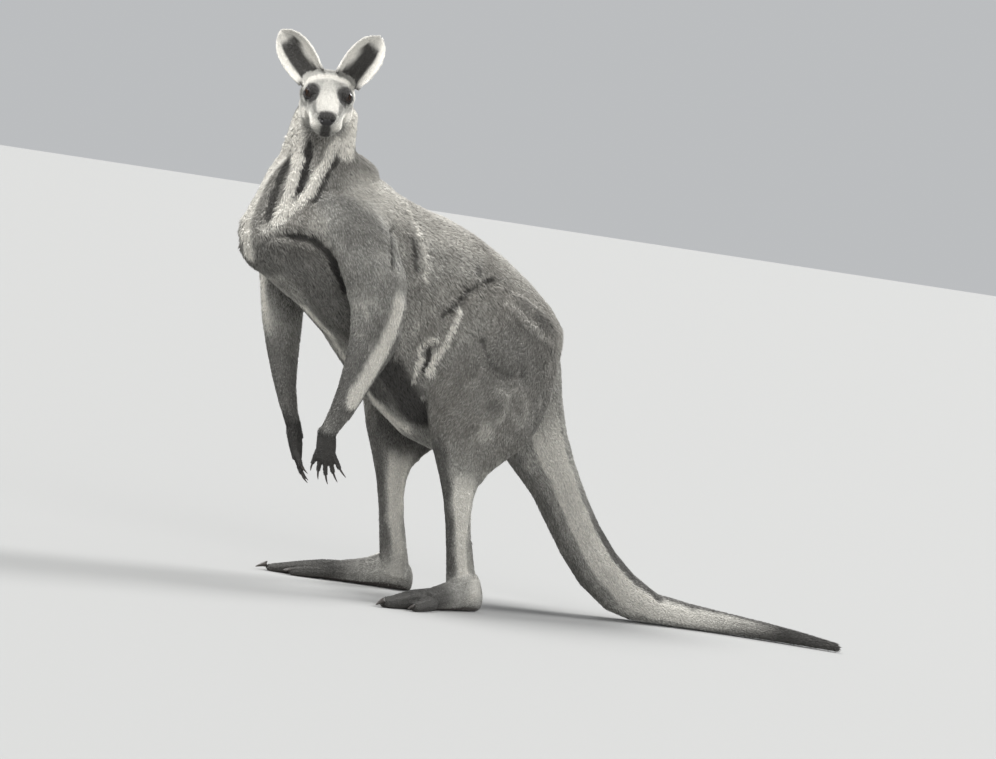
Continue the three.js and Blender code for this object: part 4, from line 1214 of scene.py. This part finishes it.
def ear_by_ear(turn, share, root, out):
    """Each face of each ear has a strip of its own."""
    right = root @ np.array(head_frame.to_3x3().col[0]) < (
        head_frame.translation.dot(head_frame.to_3x3().col[0]))
    front = out @ np.array(head_frame.to_3x3().col[1]) < 0
    return (2 * right + front + turn / (2 * math.pi) * 0.98 + 0.5) / 4, share


def any_of(*labels):
    return np.isin(tri_part, labels)


COAT_PIECES = [
    ("coat_head", any_of("head"), round_and_along),
    ("coat_ears", any_of("ear"), ear_by_ear),
    ("coat_neck", any_of("neck"), round_and_along),
    ("coat_chest_left", any_of("trunk") & ~tri_right_half & tri_before, half_round),
    ("coat_chest_right", any_of("trunk") & tri_right_half & tri_before, half_round),
    ("coat_flank_left", any_of("trunk") & ~tri_right_half & ~tri_before, half_round),
    ("coat_flank_right", any_of("trunk") & tri_right_half & ~tri_before, half_round),
    ("coat_tail", any_of("tail_base", "tail_middle"), round_and_along),
    ("coat_tail_end", any_of("tail_tip"), round_and_along),
]
for side, s in SIDES:
    own = tri_left == (s == LEFT)
    COAT_PIECES += [
        (f"coat_leg_{side}", any_of("thigh", "shank") & own, round_and_along),
        (f"coat_foot_{side}", any_of("foot") & own, round_and_along),
        (f"coat_arm_{side}", any_of("upper_arm", "forearm", "hand") & own, round_and_along),
    ]
for name, chosen, spread in COAT_PIECES:
    tufts = joined_tufts(name, chosen, spread)
    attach(tufts, "root")

# ------------------------------------------------------------ eyes

eye_finish = Finish("eye_dark", roughness=0.08, coat_weight=0.15, coat_roughness=0.02,
                    specular_ior_level=0.22)
ring = eye_finish.attribute("ring")
threads = eye_finish.grains(eye_finish.place(), 700.0, 3.0)
iris = eye_finish.mix((0.035, 0.016, 0.007), (0.010, 0.005, 0.003), threads)
iris = eye_finish.mix(iris, (0.003, 0.002, 0.002), 1 - eye_finish.spread(ring, 0.34, 0.42))
iris = eye_finish.mix(iris, (0.004, 0.003, 0.003), eye_finish.spread(ring, 0.86, 1.0))
white = eye_finish.mix((0.05, 0.036, 0.028), (0.03, 0.02, 0.015), threads)
eye_finish.colour(eye_finish.mix(iris, white, eye_finish.spread(ring, 1.06, 1.2)))

IRIS_HALF_ANGLE = 36
for side, s in SIDES:
    centre = head_frame @ EYE_AT[s]
    radius = EYE_RADIUS * UNIT
    gaze = (head_frame.to_3x3() @ GAZE[s]).normalized()
    bpy.ops.mesh.primitive_uv_sphere_add(
        segments=56, ring_count=36, radius=radius * 0.985, location=centre,
        rotation=gaze.to_track_quat("Z", "Y").to_euler())
    eye = bpy.context.object
    bpy.ops.object.transform_apply(location=True, rotation=True, scale=True)
    eye.name = f"eyeball_{side}"
    eye.data.name = eye.name
    spots = points_of(eye.data)
    ways = unit(spots - np.array(centre))
    off = np.degrees(np.arccos(np.clip(ways @ np.array(gaze), -1, 1))) / IRIS_HALF_ANGLE
    spots += ways * (radius * 0.06 * (1 - ease(0.0, 1.15, off)))[:, None]
    move_points(eye.data, spots)
    set_values(eye.data, "ring", off)
    bpy.ops.object.shade_smooth()
    eye.data.materials.append(eye_finish.material)
    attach(eye, "root")
    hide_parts(f"eye_{side}")

# ------------------------------------------------------------ claws

claw_nodes = [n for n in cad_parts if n.startswith("claw")]
claws = copy_nodes("claws", claw_nodes)
# The root of each claw goes into its finger or toe.
TOUCHING, ROOTED = 0.0006, 0.0018
spots = points_of(claws.data)
for i, spot_at in enumerate(spots.tolist()):
    _, outwards, _, far = solids.find_nearest(spot_at)
    if far < TOUCHING:
        spots[i] -= np.array(outwards) * ROOTED
move_points(claws.data, spots)
apply_modifier(claws, "DISPLACE", strength=0.0004, mid_level=0)
apply_modifier(claws, "SUBSURF", levels=2, render_levels=2)
bpy.ops.object.shade_smooth()
horn = Finish("claw_horn", roughness=0.38, coat_weight=0.15, coat_roughness=0.3)
bands = horn.grains(horn.stretched(horn.place(), (500, 500, 90)), 1.0, 3.0)
horn.colour(horn.mix((0.012, 0.010, 0.009), (0.060, 0.050, 0.042), bands))
horn.roughness(0.3 + bands * 0.25)
horn.bump(bands, 0.0003)
claws.data.materials.append(horn.material)
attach(claws, "root")
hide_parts(*claw_nodes)

skin.data.materials.append(hide.material)
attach(skin, "root")
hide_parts(*[n for n in flesh if n not in eyes])

# ------------------------------------------------------------ floor and light

floor_finish = Finish("floor_plain", roughness=0.8)
floor_finish.colour((0.25, 0.25, 0.245))
bpy.ops.mesh.primitive_plane_add(size=60, location=(0, 0, -0.0002))
floor = bpy.context.object
floor.name = "floor"
floor.data.materials.append(floor_finish.material)


def soft_light(name, right, near, up, softness, power):
    """A wide, even light from a place as seen from the camera, turned to the animal."""
    ahead = Vector((TOWARDS.x, TOWARDS.y, 0)).normalized()
    way = ACROSS * right + ahead * near + Vector((0, 0, up))
    bpy.ops.object.light_add(type="SUN", location=way)
    lamp = bpy.context.object
    lamp.name = name
    lamp.data.angle = math.radians(softness)
    lamp.data.energy = power
    lamp.rotation_euler = way.to_track_quat("Z", "Y").to_euler()


soft_light("key", -2.6, 0.6, 4.6, 26, 5.1)
soft_light("rim", 3.4, -3.0, 3.2, 20, 3.4)
soft_light("fill", 1.6, 5.0, 2.0, 40, 1.4)
world = bpy.context.scene.world or bpy.data.worlds.new("studio")
bpy.context.scene.world = world
world.use_nodes = True
sky = world.node_tree.nodes["Background"]
sky.inputs["Color"].default_value = (0.86, 0.88, 0.90, 1)
sky.inputs["Strength"].default_value = 0.58
bpy.context.scene.view_settings.view_transform = "Standard"
